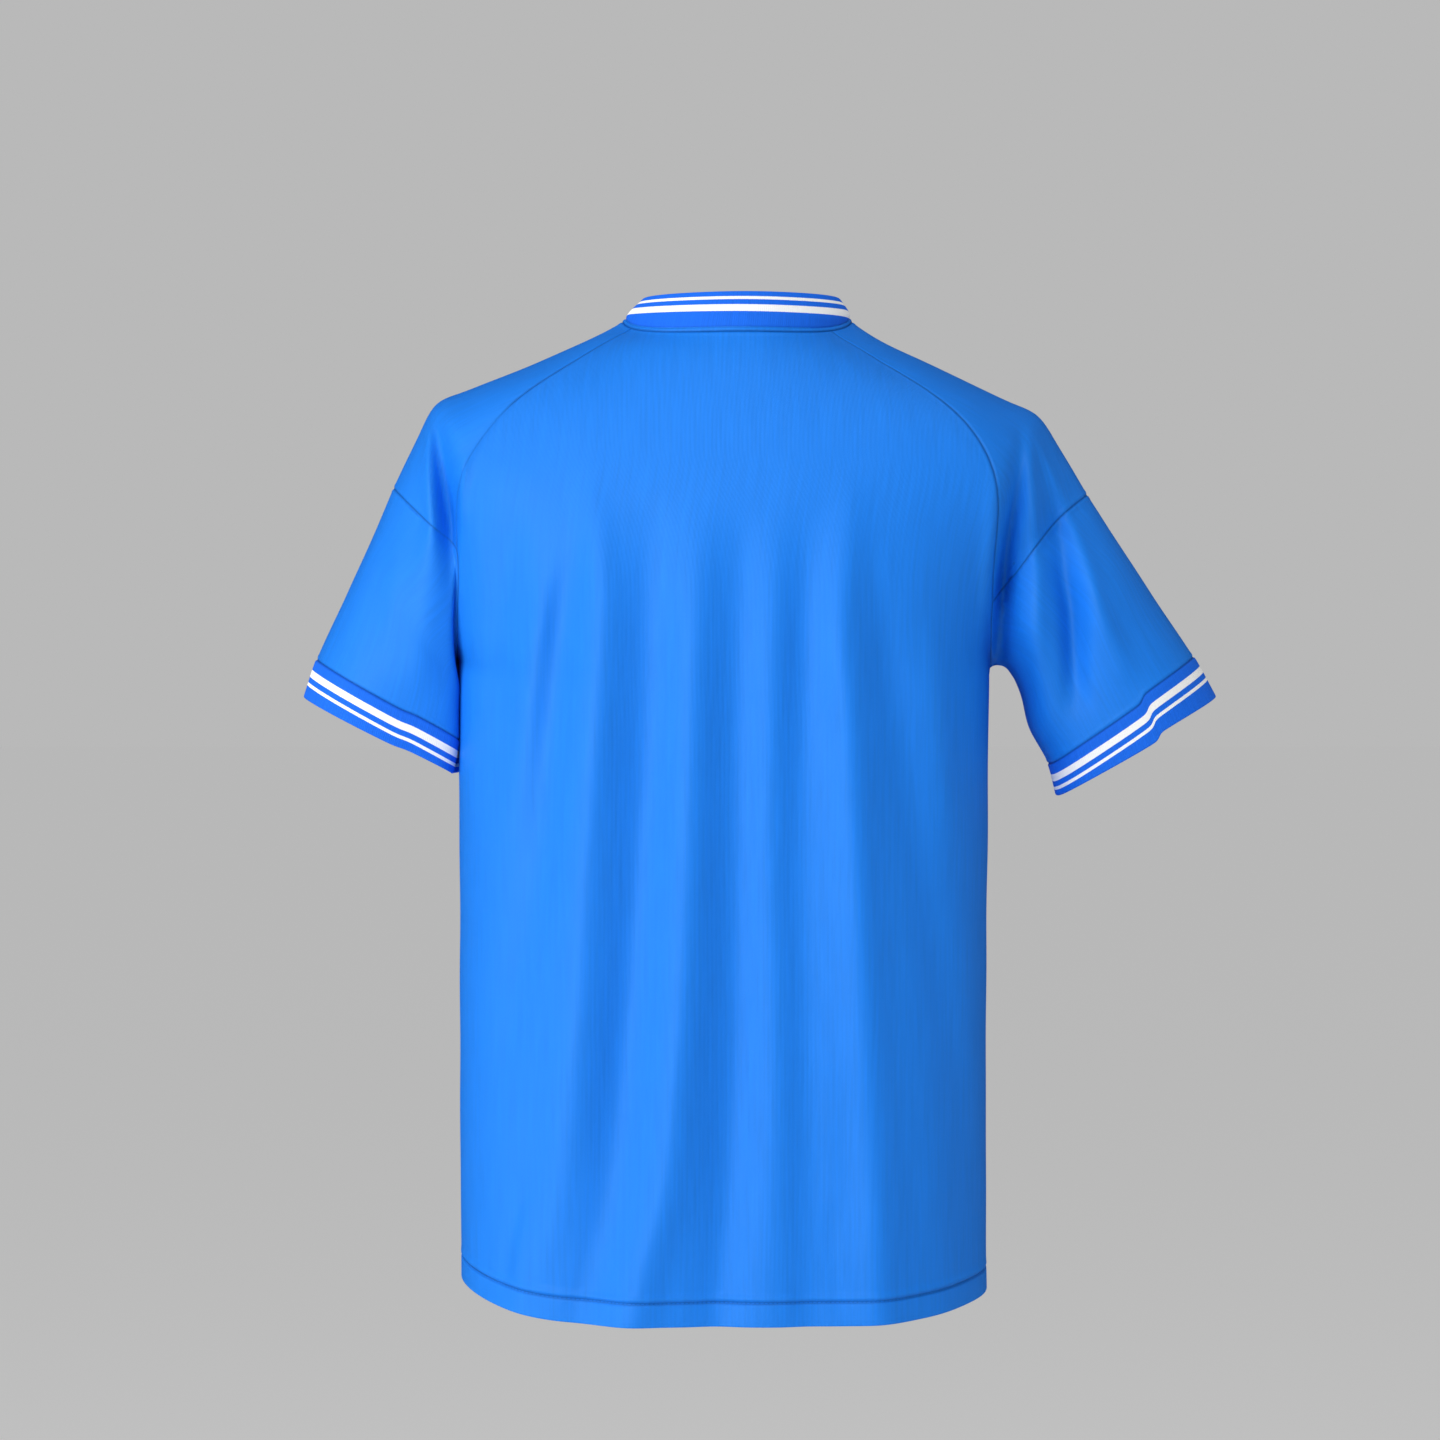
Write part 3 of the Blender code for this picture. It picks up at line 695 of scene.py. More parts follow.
# Where a wrinkle steps the cuff and the sleeve's end: at which column of the cage, by how much, how sharply
# and widely in columns, and how far up the sleeve.
JOGS = {
    "right": {"column": 3.5, "step": 3.9, "sharpness": 0.2, "spread": 3.2, "fade": 62.0},
    "left": {"column": 28.6, "step": 1.3, "sharpness": 0.35, "spread": 2.5, "fade": 40.0},
}
CUFF_DEPTH = 27.0
FOLDED_FROM = 0.45  # folds are full where the cloth faces back or front at least this much
CUFF_CALM = 30.0  # a sleeve's folds end this far above its cuff


def arm_direction(side):
    """Up the arm, from the middle of the cuff to the middle of the first section of the sleeve."""
    rows = SLEEVES[side]
    x, z = ((rows[f"outer_{axis}"] + rows[f"inner_{axis}"]) / 2 for axis in "xz")
    return unit(np.array([x[0] - x[-1], 0, z[0] - z[-1]]))


def bump_at(distance, width):
    return np.exp(-((distance / width) ** 2))


def flat_seam(points):
    """1 where the left raglan seam lies pulled smooth at the back, falling to 0 around that."""
    share = (points[:, :, 1] < 0).astype(float)
    for axis, key in ((0, "x"), (2, "z")):
        low, high = FLAT_SEAM[key]
        beyond = np.maximum(low - points[:, :, axis], points[:, :, axis] - high)
        share = share * eased(1 - beyond / FLAT_SEAM_FADE)
    return share


class Cloth:
    """One piece of cloth on a fine grid: its middle surface, and how far its two faces lie from it."""

    def __init__(self, name, points, normals, grid):
        self.name = name
        self.kind = name.split("_")[0]
        self.side = name.split("_")[-1]
        self.rib = is_rib(name)
        self.ring = bool((grid[:, 0] == grid[:, -1]).all())
        how = KINDS[self.kind]
        base = points[grid]
        row_cells = np.linalg.norm(np.diff(base, axis=0), axis=2).mean(axis=1)
        column_cells = np.linalg.norm(np.diff(base, axis=1), axis=2).mean(axis=0)
        above = FOLD_STEPS if self.kind == "collar" else SEAM_STEPS
        rows = places(row_cells, how["row_step"], [(0, EDGE_STEPS[how["bottom"]]), (-1, above)])
        if self.rib:
            reach = running_total(column_cells)
            count = round(reach[-1] / RIB_PITCH) * RIB_COLUMNS
            columns = np.interp(np.linspace(0, reach[-1], count + 1), reach, np.arange(len(reach)))
        else:
            lines = [(self.underarm(), SEAM_STEPS)] if self.ring else [(0, SEAM_STEPS), (-1, SEAM_STEPS)]
            columns = places(column_cells, how["column_step"], lines)
        self.columns = columns
        row_breaks = [CELL * row for row in (SEAM_ROWS, DROP_ROW) if how["bottom"] == "hem"]
        column_breaks = [CELL * column for column in self.column_breaks()]
        row_places, column_places = (np.arange(size) for size in grid.shape)
        row_share = 1 - eased(np.minimum(column_places, column_places[::-1]) / BORDER_CELLS)
        seam_row = 0 if self.kind == "collar" else row_places[-1]
        away = np.interp(rows, row_places, np.abs(row_places - seam_row))
        column_share = (1 - eased(away / BORDER_CELLS)) * (self.kind != "cuff")
        self.points, self.normals = (
            resampled(
                resampled(values[grid], rows, row_breaks, False, row_share).swapaxes(0, 1),
                columns, column_breaks, self.ring, column_share,
            ).swapaxes(0, 1)
            for values in (points, normals)
        )
        self.normals = unit(self.normals)
        self.measure()
        self.outer = np.full(self.up.shape, (RIB_CLOTH if self.rib else JERSEY_CLOTH) / 2)
        self.inner = -self.outer
        # painted shade, 0 to 1, that darkens the colour in the seams and grooves
        self.shade = np.zeros(self.up.shape)

    def underarm(self):
        """The column of the sleeve's own seam."""
        return CELL * (ARMHOLE_ROWS if self.side == "left" else 2 * YOKE_COLUMNS + ARMHOLE_ROWS)

    def column_breaks(self):
        """Where the seams of the pieces above or below meet this one, in columns of the cage."""
        if self.kind in ("sleeve", "cuff"):
            return self.underarm() // CELL, 2 * (ARMHOLE_ROWS if self.side == "left" else YOKE_COLUMNS)
        if self.kind == "collar":
            return np.cumsum([2 * PANEL_COLUMNS, 2 * YOKE_COLUMNS, 2 * PANEL_COLUMNS])
        return ()

    def measure(self):
        """Lengths along the cloth: across it, up it and down it, and across it from its middle."""
        self.across = reach_along(self.points, 1)
        self.up = reach_along(self.points, 0)
        self.down = self.up[-1] - self.up
        middle = self.across.shape[1] // 2
        self.u = self.across - self.across[:, middle : middle + 1]
        if self.rib:
            self.u = np.broadcast_to(np.arange(len(self.columns)) * RIB_PITCH / RIB_COLUMNS, self.up.shape)

    def seam_distance(self):
        """How far each point lies from the nearest seam."""
        near = [self.up if self.kind == "collar" else self.down]
        if KINDS[self.kind]["bottom"] == "seam":
            near.append(self.up)
        if not self.ring:
            near += [self.across, self.across[:, -1:] - self.across]
        elif self.kind == "sleeve":
            column = int(np.abs(self.columns - self.underarm()).argmin())
            near.append(np.abs(self.across - self.across[:, column : column + 1]))
        return np.min(near, axis=0)

    def add_seams(self):
        distance = self.seam_distance()
        # the groove and its painted shade are fainter where the seam lies pulled smooth
        shown = 1 - (1 - FLAT_SEAM_SHARE) * flat_seam(self.points)
        dip = bump_at(distance, SEAM_HALF_WIDTH) * shown
        self.outer -= (self.outer + SEAM_SINK) * dip
        if not self.rib:
            self.outer += SEAM_ROLL * bump_at(distance - SEAM_ROLL_AT, SEAM_ROLL_WIDTH) * shown
        self.inner -= ALLOWANCE_DEPTH * eased((ALLOWANCE + ALLOWANCE_EDGE - distance) / ALLOWANCE_EDGE)
        # painted shade along the seam's groove
        self.shade = np.maximum(self.shade, dip)

    def add_hem(self):
        """The edge is turned up inside and stitched down; it puckers a little along the stitches."""
        beside = self.up - HEM
        wave = puckers(self.u)
        self.outer += HEM_LIFT * eased(-beside)
        self.outer -= HEM_GROOVE * bump_at(beside, HEM_GROOVE_WIDTH)
        inside = eased(np.minimum(self.across, self.across[:, -1:] - self.across) / HEM_CALM)
        roll = bump_at(beside - HEM_ROLL_AT, HEM_ROLL_WIDTH)
        self.outer += HEM_ROLL * inside * (1 + HEM_PUCKER * wave) * roll
        self.outer += HEM_PUCKER * inside * wave * bump_at(beside + HEM_ROLL_WIDTH, HEM_ROLL_WIDTH)
        self.inner -= JERSEY_CLOTH * eased((1 - beside) / ALLOWANCE_EDGE)
        # painted shade along the hem's groove under the stitches
        self.shade = np.maximum(self.shade, bump_at(beside, HEM_GROOVE_WIDTH))
        self.round_off(self.up)

    def add_ribs(self):
        fold = self.down if self.kind == "collar" else self.up
        seam = self.up - NECK_STRIP if self.kind == "collar" else self.down
        wave = np.cos(2 * math.pi * np.arange(self.up.shape[1]) / RIB_COLUMNS)
        height = RIB_HEIGHT * wave * eased(fold / RIB_FADE) * eased(seam / RIB_FADE)
        self.outer += height
        self.inner -= height
        self.round_off(fold)

    def add_neck_strip(self):
        """The seam's edges are stitched down above the seam, under a narrow strip of the body's cloth."""
        strip = np.sin(math.pi * np.clip(self.up / NECK_STRIP, 0, 1))
        inside = self.up < NECK_STRIP
        self.outer = np.where(inside, JERSEY_CLOTH / 2 + NECK_STRIP_ROLL * strip, self.outer)
        groove = bump_at(self.up - NECK_STRIP, SEAM_HALF_WIDTH)
        self.outer -= JERSEY_CLOTH / 2 * groove
        # painted shade, half as strong, along the groove below the rib
        self.shade = np.maximum(self.shade, groove / 2)

    def round_off(self, edge):
        """Rounds the wall off towards a folded edge."""
        radius = self.outer - self.inner
        near = 1 - np.clip(2 * edge / radius, 0, 1)
        share = EDGE_LEFT + (1 - EDGE_LEFT) * np.sqrt(1 - near**2)
        self.outer *= share
        self.inner *= share

    def jog(self):
        """Steps the sleeve's end along the arm where a wrinkle pulls it up."""
        how = JOGS[self.side]
        above = self.up + (0 if self.kind == "cuff" else CUFF_DEPTH)
        fade = 1 - eased((above - CUFF_DEPTH - RIB_CLOTH * 2) / how["fade"])
        away = (self.columns / CELL - how["column"] + ARM_COLUMNS / 2) % ARM_COLUMNS - ARM_COLUMNS / 2
        profile = np.tanh(away / how["sharpness"]) * bump_at(away, how["spread"]) / 2
        self.points = self.points + how["step"] * (profile * fade)[:, :, None] * arm_direction(self.side)

    def fold(self):
        """Moves the cloth out on its ridges and in at its troughs. The ribs are only a little uneven."""
        x, _, z = np.moveaxis(self.points, 2, 0)
        facing = self.normals[:, :, 1]
        back, front = (
            fold_depth(x, z, folds) + crease_depth(x, z, creases)
            for folds, creases in ((FOLDS_BACK, CREASES_BACK), (FOLDS_FRONT, CREASES_FRONT))
        )
        depth = (np.where(facing < 0, back, front) + fullness(x, z)) * eased(np.abs(facing) / FOLDED_FROM)
        if self.kind == "sleeve":
            depth *= eased(self.up / CUFF_CALM)
        bent = self.points.copy()
        if not self.rib:
            bent[:, :, 1] += depth * np.sign(facing)
        rough = UNEVEN_DEPTH * uneven(x / UNEVEN_LENGTH, z / UNEVEN_LENGTH)
        self.points = bent + rough[:, :, None] * self.normals

    def face(self, side):
        """The outer or inner face as points."""
        height = self.outer if side == "outer" else self.inner
        return self.points + height[:, :, None] * self.normals


# ---------------------------------------------------------------- folds, creases and other uneven places

# The folds, from station to station downwards: z, x, half the width, and how far the fold stands out (+) or
# lies in (-).
FOLDS_BACK = {
    "ridge_1": (
        (-108, -102, 12, 0.5), (-149, -97, 12, 3.6), (-191, -96, 14, 5.7), (-274, -100, 16, 8.1),
        (-400, -109, 17, 7.3), (-522, -117, 18, 7.3), (-605, -128, 16, 4.4), (-700, -158, 14, 2.1),
    ),
    "ridge_2": (
        (-120, -29, 14, 0), (-191, -30, 15, 3.4), (-274, -32, 16, 5.7), (-400, -36, 17, 7),
        (-522, -43, 17, 8.1), (-605, -53, 18, 7.8), (-650, -65, 18, 7.8), (-700, -76, 19, 7),
    ),
    "ridge_3": (
        (-130, 25, 14, 0), (-191, 26, 14, 1.8), (-356, 23, 14, 1.8), (-522, 29, 14, 1.6),
        (-700, 26, 14, 0.5),
    ),
    "ridge_4": (
        (-95, 78, 13, 0), (-149, 76, 13, 3.1), (-191, 73, 14, 5.7), (-274, 78, 15, 7.5),
        (-380, 84, 16, 9.1), (-480, 90, 17, 8.1), (-540, 94, 17, 7), (-620, 98, 18, 8.6),
        (-700, 101, 19, 7.5),
    ),
    "ridge_5": (
        (-191, 134, 10, 0), (-235, 138, 11, 2.9), (-280, 142, 12, 4.2), (-320, 146, 11, 2.9),
        (-370, 152, 10, 0),
    ),
    "ridge_6": (
        (-165, -135, 8, 0), (-200, -138, 8, 2.3), (-260, -146, 9, 2.6), (-320, -154, 9, 1.6),
        (-360, -160, 9, 0),
    ),
    "trough_1": (
        (-120, -157, 12, 0), (-155, -159, 12, -2.5), (-191, -163, 12, -3.8), (-260, -168, 12, -2.6),
        (-335, -172, 12, 0),
    ),
    "trough_2": (
        (-140, -114, 12, 0), (-191, -119, 12, -4.4), (-240, -125, 12, -6), (-315, -132, 13, -5.7),
        (-398, -142, 14, -4.9), (-470, -156, 14, -3.1), (-550, -168, 14, 0),
    ),
    "trough_3": (
        (-115, -61, 14, 0), (-170, -61, 15, -3.2), (-274, -62, 16, -5.1), (-400, -70, 16, -6.4),
        (-500, -77, 16, -6.8), (-605, -89, 16, -5.1), (-700, -112, 16, -3.8),
    ),
    "trough_4": (
        (-120, 3, 15, 0), (-191, 1, 16, -3.6), (-356, -1, 17, -5.1), (-543, -4, 17, -7.2),
        (-700, -16, 17, -5.5),
    ),
    "trough_5": (
        (-120, 47, 14, 0), (-200, 45, 15, -3.8), (-357, 42, 15, -3.6), (-522, 46, 15, -3.4),
        (-700, 50, 15, -3.2),
    ),
    "trough_6": (
        (-170, 100, 13, 0), (-235, 105, 13, -4.2), (-315, 117, 14, -5.2), (-398, 131, 14, -4.9),
        (-480, 146, 15, -4.9), (-585, 160, 16, -5.2), (-700, 163, 16, -4.4),
    ),
    "right_arm_trough_1": (
        (-60, 203, 5, 0), (-85, 199, 6, -4), (-115, 194.5, 6.5, -10.5), (-145, 191, 6.2, -18),
        (-180, 189, 6.2, -24), (-210, 189, 6.2, -22), (-232, 188.5, 7, -12), (-250, 188.5, 9, -3),
    ),
    "right_arm_ridge_1": (
        (-60, 206, 4, 0), (-80, 206, 5, 2.4), (-105, 207, 6, 4.4), (-135, 209.5, 7, 6.6),
        (-175, 210.5, 8, 7.2), (-215, 211, 9, 7), (-255, 216, 11, 4.2), (-290, 224, 12, 0),
    ),
    "right_arm_trough_2": (
        (-80, 213, 4, 0), (-100, 218, 5, -2.2), (-119, 224, 6, -3.6), (-147, 229, 8, -6.6),
        (-170, 232, 9, -11.5), (-192, 236, 9, -15.5), (-215, 238, 9, -15.5), (-240, 239.5, 9, -11),
        (-262, 241, 11, -4), (-285, 244, 12, 0),
    ),
    "right_arm_ridge_2": (
        (-66, 210, 3, 0), (-85, 216, 4, 2.2), (-105, 225, 5, 2.6), (-122, 232, 6, 2.8),
        (-150, 243, 7, 3.6), (-190, 255, 9, 4.6), (-225, 268, 11, 4), (-262, 282, 12, 0),
    ),
    "left_arm_trough": (
        (-56, -214, 4, 0), (-66, -212, 5, -4.5), (-80, -209, 7, -10), (-98, -206, 8, -15),
        (-119, -203, 8.5, -19), (-138, -201, 8.5, -18), (-158, -200, 8, -9), (-185, -200, 8, -3),
        (-215, -200, 8, 0),
    ),
    "left_arm_ridge": (
        (-56, -220, 4, 0), (-68, -218.5, 4, 3.4), (-86, -217.5, 4, 5), (-110, -216, 5, 5.8),
        (-135, -214, 6, 5.2), (-165, -218, 11, 3.6), (-217, -221, 13, 3), (-270, -229, 13, 0),
    ),
    "left_edge_ridge": (
        (-84, -188, 5, 0), (-100, -191, 4, 3), (-125, -193.5, 4, 4.6), (-150, -195, 4, 4.4),
        (-190, -196, 4, 2.4), (-228, -196, 4, 0),
    ),
    "right_edge_ridge": (
        (-95, 178, 5, 0), (-130, 178, 5, 2.4), (-165, 176, 5, 3.2), (-200, 175, 5, 3.2),
        (-245, 175, 5, 0),
    ),
    "left_arm_hollow": (
        (-110, -238, 10, 0), (-147, -246, 11, -1.5), (-217, -259, 12, -1.6), (-262, -268, 12, 0),
    ),
}
FOLDS_FRONT = {
    "ridge_1": (
        (-150, -112, 13, 0), (-230, -118, 16, 4.4), (-380, -126, 18, 6), (-540, -136, 19, 5.3),
        (-700, -152, 17, 3),
    ),
    "ridge_2": (
        (-170, -46, 14, 0), (-260, -50, 17, 3.7), (-400, -58, 19, 5.6), (-560, -66, 19, 6.7),
        (-700, -78, 20, 5.6),
    ),
    "ridge_3": (
        (-190, 18, 14, 0), (-300, 16, 15, 2.6), (-520, 13, 17, 4.4), (-700, 6, 17, 4.9),
    ),
    "ridge_4": (
        (-150, 76, 13, 0), (-220, 80, 15, 4.7), (-380, 92, 18, 7), (-560, 104, 19, 5.6),
        (-700, 112, 20, 6.6),
    ),
    "ridge_5": (
        (-230, 144, 11, 0), (-300, 150, 13, 2.5), (-420, 156, 13, 1.6), (-500, 160, 12, 0),
    ),
    "trough_1": (
        (-150, -150, 12, 0), (-210, -156, 13, -3.3), (-320, -164, 13, -2.6), (-430, -172, 12, 0),
    ),
    "trough_2": (
        (-160, -80, 13, 0), (-250, -84, 15, -3.7), (-420, -92, 17, -5.6), (-700, -114, 17, -3.7),
    ),
    "trough_3": (
        (-190, -14, 14, 0), (-300, -18, 16, -3.3), (-480, -22, 17, -4.9), (-700, -34, 17, -5.3),
    ),
    "trough_4": (
        (-170, 50, 13, 0), (-260, 50, 15, -4), (-460, 54, 16, -4.4), (-700, 60, 17, -3.3),
    ),
    "trough_5": (
        (-190, 112, 13, 0), (-270, 122, 15, -4), (-420, 136, 16, -4.7), (-700, 150, 16, -3.3),
    ),
    "right_arm_trough_1": (
        (-70, 206, 8, 0), (-110, 202, 10, -4.4), (-160, 195, 11, -7.6), (-205, 192, 11, -9),
        (-240, 190, 11, -7),
    ),
    "right_arm_ridge": (
        (-90, 212, 7, 0), (-150, 216, 10, 2.2), (-215, 222, 12, 3.2), (-270, 232, 12, 0),
    ),
    "right_arm_trough_2": (
        (-130, 232, 9, 0), (-180, 244, 11, -2.2), (-240, 256, 12, -1.4), (-270, 262, 12, 0),
    ),
    "left_arm_trough": (
        (-70, -210, 8, 0), (-110, -206, 9, -4.2), (-160, -200, 10, -4.8), (-230, -197, 10, -1.5),
    ),
    "left_arm_ridge": (
        (-90, -219, 9, 0), (-150, -220, 11, 2.6), (-215, -224, 13, 2.2), (-265, -232, 13, 0),
    ),
}

# Small creases (-) and ridges (+) from one point to another, with the middle bent to one side.
CREASES_BACK = table(
    "x0   z0   x1   z1   bend half_width depth",
    (-141, -598, -154, -672, 2, 4, 1.9),
    (-147, -602, -163, -676, 2, 5, -1.5),
    (66, -600, 72, -700, 3, 6, -0.7),
    (-240, -140, -247, -230, 2, 7, 0.6),
    (253, -160, 280, -242, -3, 6, -0.8),
    (-150, -452, -176, -520, 4, 8, 0.7),
)
CREASES_FRONT = table(
    "x0   z0   x1   z1   bend half_width depth",
    (-130, -580, -148, -690, 4, 5, 0.8),
    (40, -600, 50, -700, 3, 7, -0.7),
    (-238, -140, -250, -228, 2, 7, 0.6),
    (246, -160, 272, -240, -3, 7, -0.8),
)

# How far the cloth of the panels stands out between their ends, apart from the folds: nothing at the top and
# at the sides, and all of it from a height down and from a distance inwards.
FULLNESS = {"depth": 3.4, "top": -110.0, "full": -230.0, "middle_x": -8.0, "half_width": 176.0, "side": 60.0}
CREASE_END = 0.25  # of a crease's length, over which it fades out
UNEVEN_LENGTH = 70.0
UNEVEN_DEPTH = 0.35
UNEVEN_WAVES = ((6.1, 1.7, 0.4), (-2.3, 3.9, 2.0), (2.2, 5.2, 4.1))  # how quick across and up, and the phase
PUCKER_LENGTH = 9.5
PUCKER_WAVES = ((1.0, 0.0, 1.0), (1.37, 1.0, 1.0), (0.61, 2.5, 0.7))  # how quick, the phase and the height


def fold_depth(x, z, folds):
    """How far the large folds move the cloth at (x, z)."""
    total = np.zeros_like(x)
    for stations in folds.values():
        levels, *tracks = curve(stations)[::-1].T
        line, half_width, depth = (np.interp(z, levels, track) for track in tracks)
        total += depth * bump_at(x - line, half_width)
    return total


def fullness(x, z):
    """How far the panels stand out, apart from their folds."""
    down = eased((FULLNESS["top"] - z) / (FULLNESS["top"] - FULLNESS["full"]))
    aside = eased((FULLNESS["half_width"] - np.abs(x - FULLNESS["middle_x"])) / FULLNESS["side"])
    return FULLNESS["depth"] * down * aside


def crease_depth(x, z, creases):
    """How far small creases lift or sink the cloth at (x, z)."""
    total = np.zeros_like(x)
    for x0, z0, x1, z1, bend, half_width, depth in zip(*creases.values()):
        length = math.hypot(x1 - x0, z1 - z0)
        away = np.array([x1 - x0, z1 - z0]) / length
        along = ((x - x0) * away[0] + (z - z0) * away[1]) / length
        aside = (x - x0) * away[1] - (z - z0) * away[0] - 4 * bend * along * (1 - along)
        ends = eased(along / CREASE_END) * eased((1 - along) / CREASE_END)
        total += depth * ends * bump_at(aside, half_width)
    return total


def uneven(x, z):
    """A soft wave between about -1 and 1 that doesn't repeat."""
    return sum(np.sin(across * x + up * z + phase) for across, up, phase in UNEVEN_WAVES) / len(UNEVEN_WAVES)


def puckers(u):
    """Uneven puckers along a line of stitches, between -1 and 1."""
    turn = 2 * math.pi * u / PUCKER_LENGTH
    total = sum(height * np.sin(rate * turn + phase) for rate, phase, height in PUCKER_WAVES)
    return total / sum(height for *_, height in PUCKER_WAVES)


# ---------------------------------------------------------------- meshes


def wall_faces(cloth):
    """The wall's faces as places in the grid, the inner face's places counted on after the outer's."""
    rows, columns = cloth.up.shape
    outer = np.arange(rows * columns).reshape(rows, columns)
    inner = outer + rows * columns
    faces = [quads_of(outer), quads_of(inner)[:, ::-1]]
    sides = [(outer[0, ::-1], inner[0, ::-1]), (outer[-1], inner[-1])]
    if not cloth.ring:
        sides += [(outer[:, 0], inner[:, 0]), (outer[::-1, -1], inner[::-1, -1])]
    for near, far in sides:
        faces.append(np.stack([near[:-1], near[1:], far[1:], far[:-1]], axis=-1))
    return np.concatenate(faces)


def add_mesh(name, points, faces, uv=None, shade=None):
    """A smooth object from points in millimetres."""
    mesh = bpy.data.meshes.new(name)
    mesh.from_pydata((points * MM).tolist(), [], faces)
    if uv is not None:
        mesh.uv_layers.new(name="cloth").data.foreach_set("uv", (uv * MM).ravel())
    # the painted shade of seams and grooves, one value a point
    if shade is not None:
        mesh.attributes.new("painted_seam_shade", "FLOAT", "POINT").data.foreach_set("value", shade)
    mesh.update()
    mesh.shade_smooth()
    obj = bpy.data.objects.new(name, mesh)
    bpy.context.scene.collection.objects.link(obj)
    return obj


def add_cloth(cloth, materials):
    """The piece as an object, its wall closed all round."""
    places_of = wall_faces(cloth)
    rows, columns = cloth.up.shape
    kept = columns - 1 if cloth.ring else columns
    corner = np.arange(rows * kept).reshape(rows, kept)
    corner = np.hstack([corner, corner[:, :1]]) if cloth.ring else corner
    corner = np.concatenate([corner.ravel(), corner.ravel() + rows * kept])
    points = np.concatenate([cloth.face(side)[:, :kept].reshape(-1, 3) for side in ("outer", "inner")])
    v = cloth.down if cloth.rib else cloth.up
    uv = np.stack([cloth.u, v], axis=-1).reshape(-1, 2)
    # painted shade for the outer and the inner face
    shade = np.tile(cloth.shade[:, :kept].ravel(), 2)
    faces = corner[places_of].tolist()
    obj = add_mesh(f"{cloth.name}_cloth", points, faces, uv[places_of % (rows * columns)], shade)
    if cloth.kind == "collar":
        strip = cloth.up.ravel()[places_of % (rows * columns)].mean(axis=1) < NECK_STRIP
        obj.data.materials.append(materials["collar"])
        obj.data.materials.append(materials["jersey"])
        obj.data.polygons.foreach_set("material_index", strip.astype(int))
    else:
        obj.data.materials.append(materials.get(cloth.kind, materials["jersey"]))
    return obj


STITCH = 2.4  # length
STITCH_PITCH = 3.1
STITCH_SHAPE = ((-0.5, 0.3), (-0.4, 0.85), (0.0, 1.0), (0.4, 0.85), (0.5, 0.3))  # places, and how thick
THREAD = 0.24  # half its thickness
STITCH_SIDES = 6


def add_stitches(name, line, normals, material):
    """A row of stitches along a line on the cloth."""
    reach = reach_along(line)
    tangents = np.gradient(line, reach, axis=0)
    count = int(reach[-1] / STITCH_PITCH)
    shape = (len(STITCH_SHAPE), STITCH_SIDES)
    turn = 2 * math.pi * np.arange(STITCH_SIDES) / STITCH_SIDES
    points = []
    faces = []
    for number in range(count):
        middle = (number + 0.5) * reach[-1] / count
        rings = []
        for part, thickness in STITCH_SHAPE:
            at = middle + part * STITCH
            centre, along, up = (
                np.array([np.interp(at, reach, column) for column in values.T])
                for values in (line, tangents, normals)
            )
            aside = unit(np.cross(along, up))
            radius = THREAD * thickness
            rings.append(centre + radius * (np.outer(np.cos(turn), aside) + np.outer(np.sin(turn), up)))
        points.append(np.concatenate(rings))
        index = np.arange(math.prod(shape)).reshape(shape) + number * math.prod(shape)
        faces += quads_of(np.hstack([index, index[:, :1]])).tolist()
        faces += [index[0, ::-1].tolist(), index[-1].tolist()]
    obj = add_mesh(name, np.concatenate(points), faces)
    obj.data.materials.append(material)
    return obj


# ---------------------------------------------------------------- materials

JERSEY_BLUE = (0.0075, 0.205, 0.83)
RIB_BLUE = (0.0085, 0.142, 0.79)
WHITE = (0.93, 0.93, 0.93, 1)
BLACK = (0, 0, 0, 1)
SATIN_TINT = (0.55, 0.85, 1, 1)  # of the sheen
JERSEY_SHEEN = (0.46, 0.42)  # roughness and level
RIB_SHEEN = (0.65, 0.25)
WALE = 0.0009  # metres, across one column of loops
COURSE = 0.0007  # and up one row of them
KNIT_RELIEF = 0.00004
STREAK = 0.0022
STREAK_LENGTH = 25  # times its width
STREAK_DETAIL = 2.0
STREAK_SHARE = 0.125  # how much lighter or darker
# how much the painted shade in seams and grooves darkens the colour
SEAM_PAINTED_SHADE = 0.4

# The rib's knitted-in stripes: where each one starts and ends, in metres below the collar's rim or a cuff's
# seam.
STRIPES = {"collar": ((0.0044, 0.0070), (0.0108, 0.0162)), "cuff": ((0.0080, 0.0134), (0.0172, 0.0198))}
STRIPE_EDGE = 0.00025
MIX_INPUTS = (0, 6, 7)  # a Mix node's sockets for the share and the two colours
MIX_COLOUR = 2  # and the one it gives its colour out by


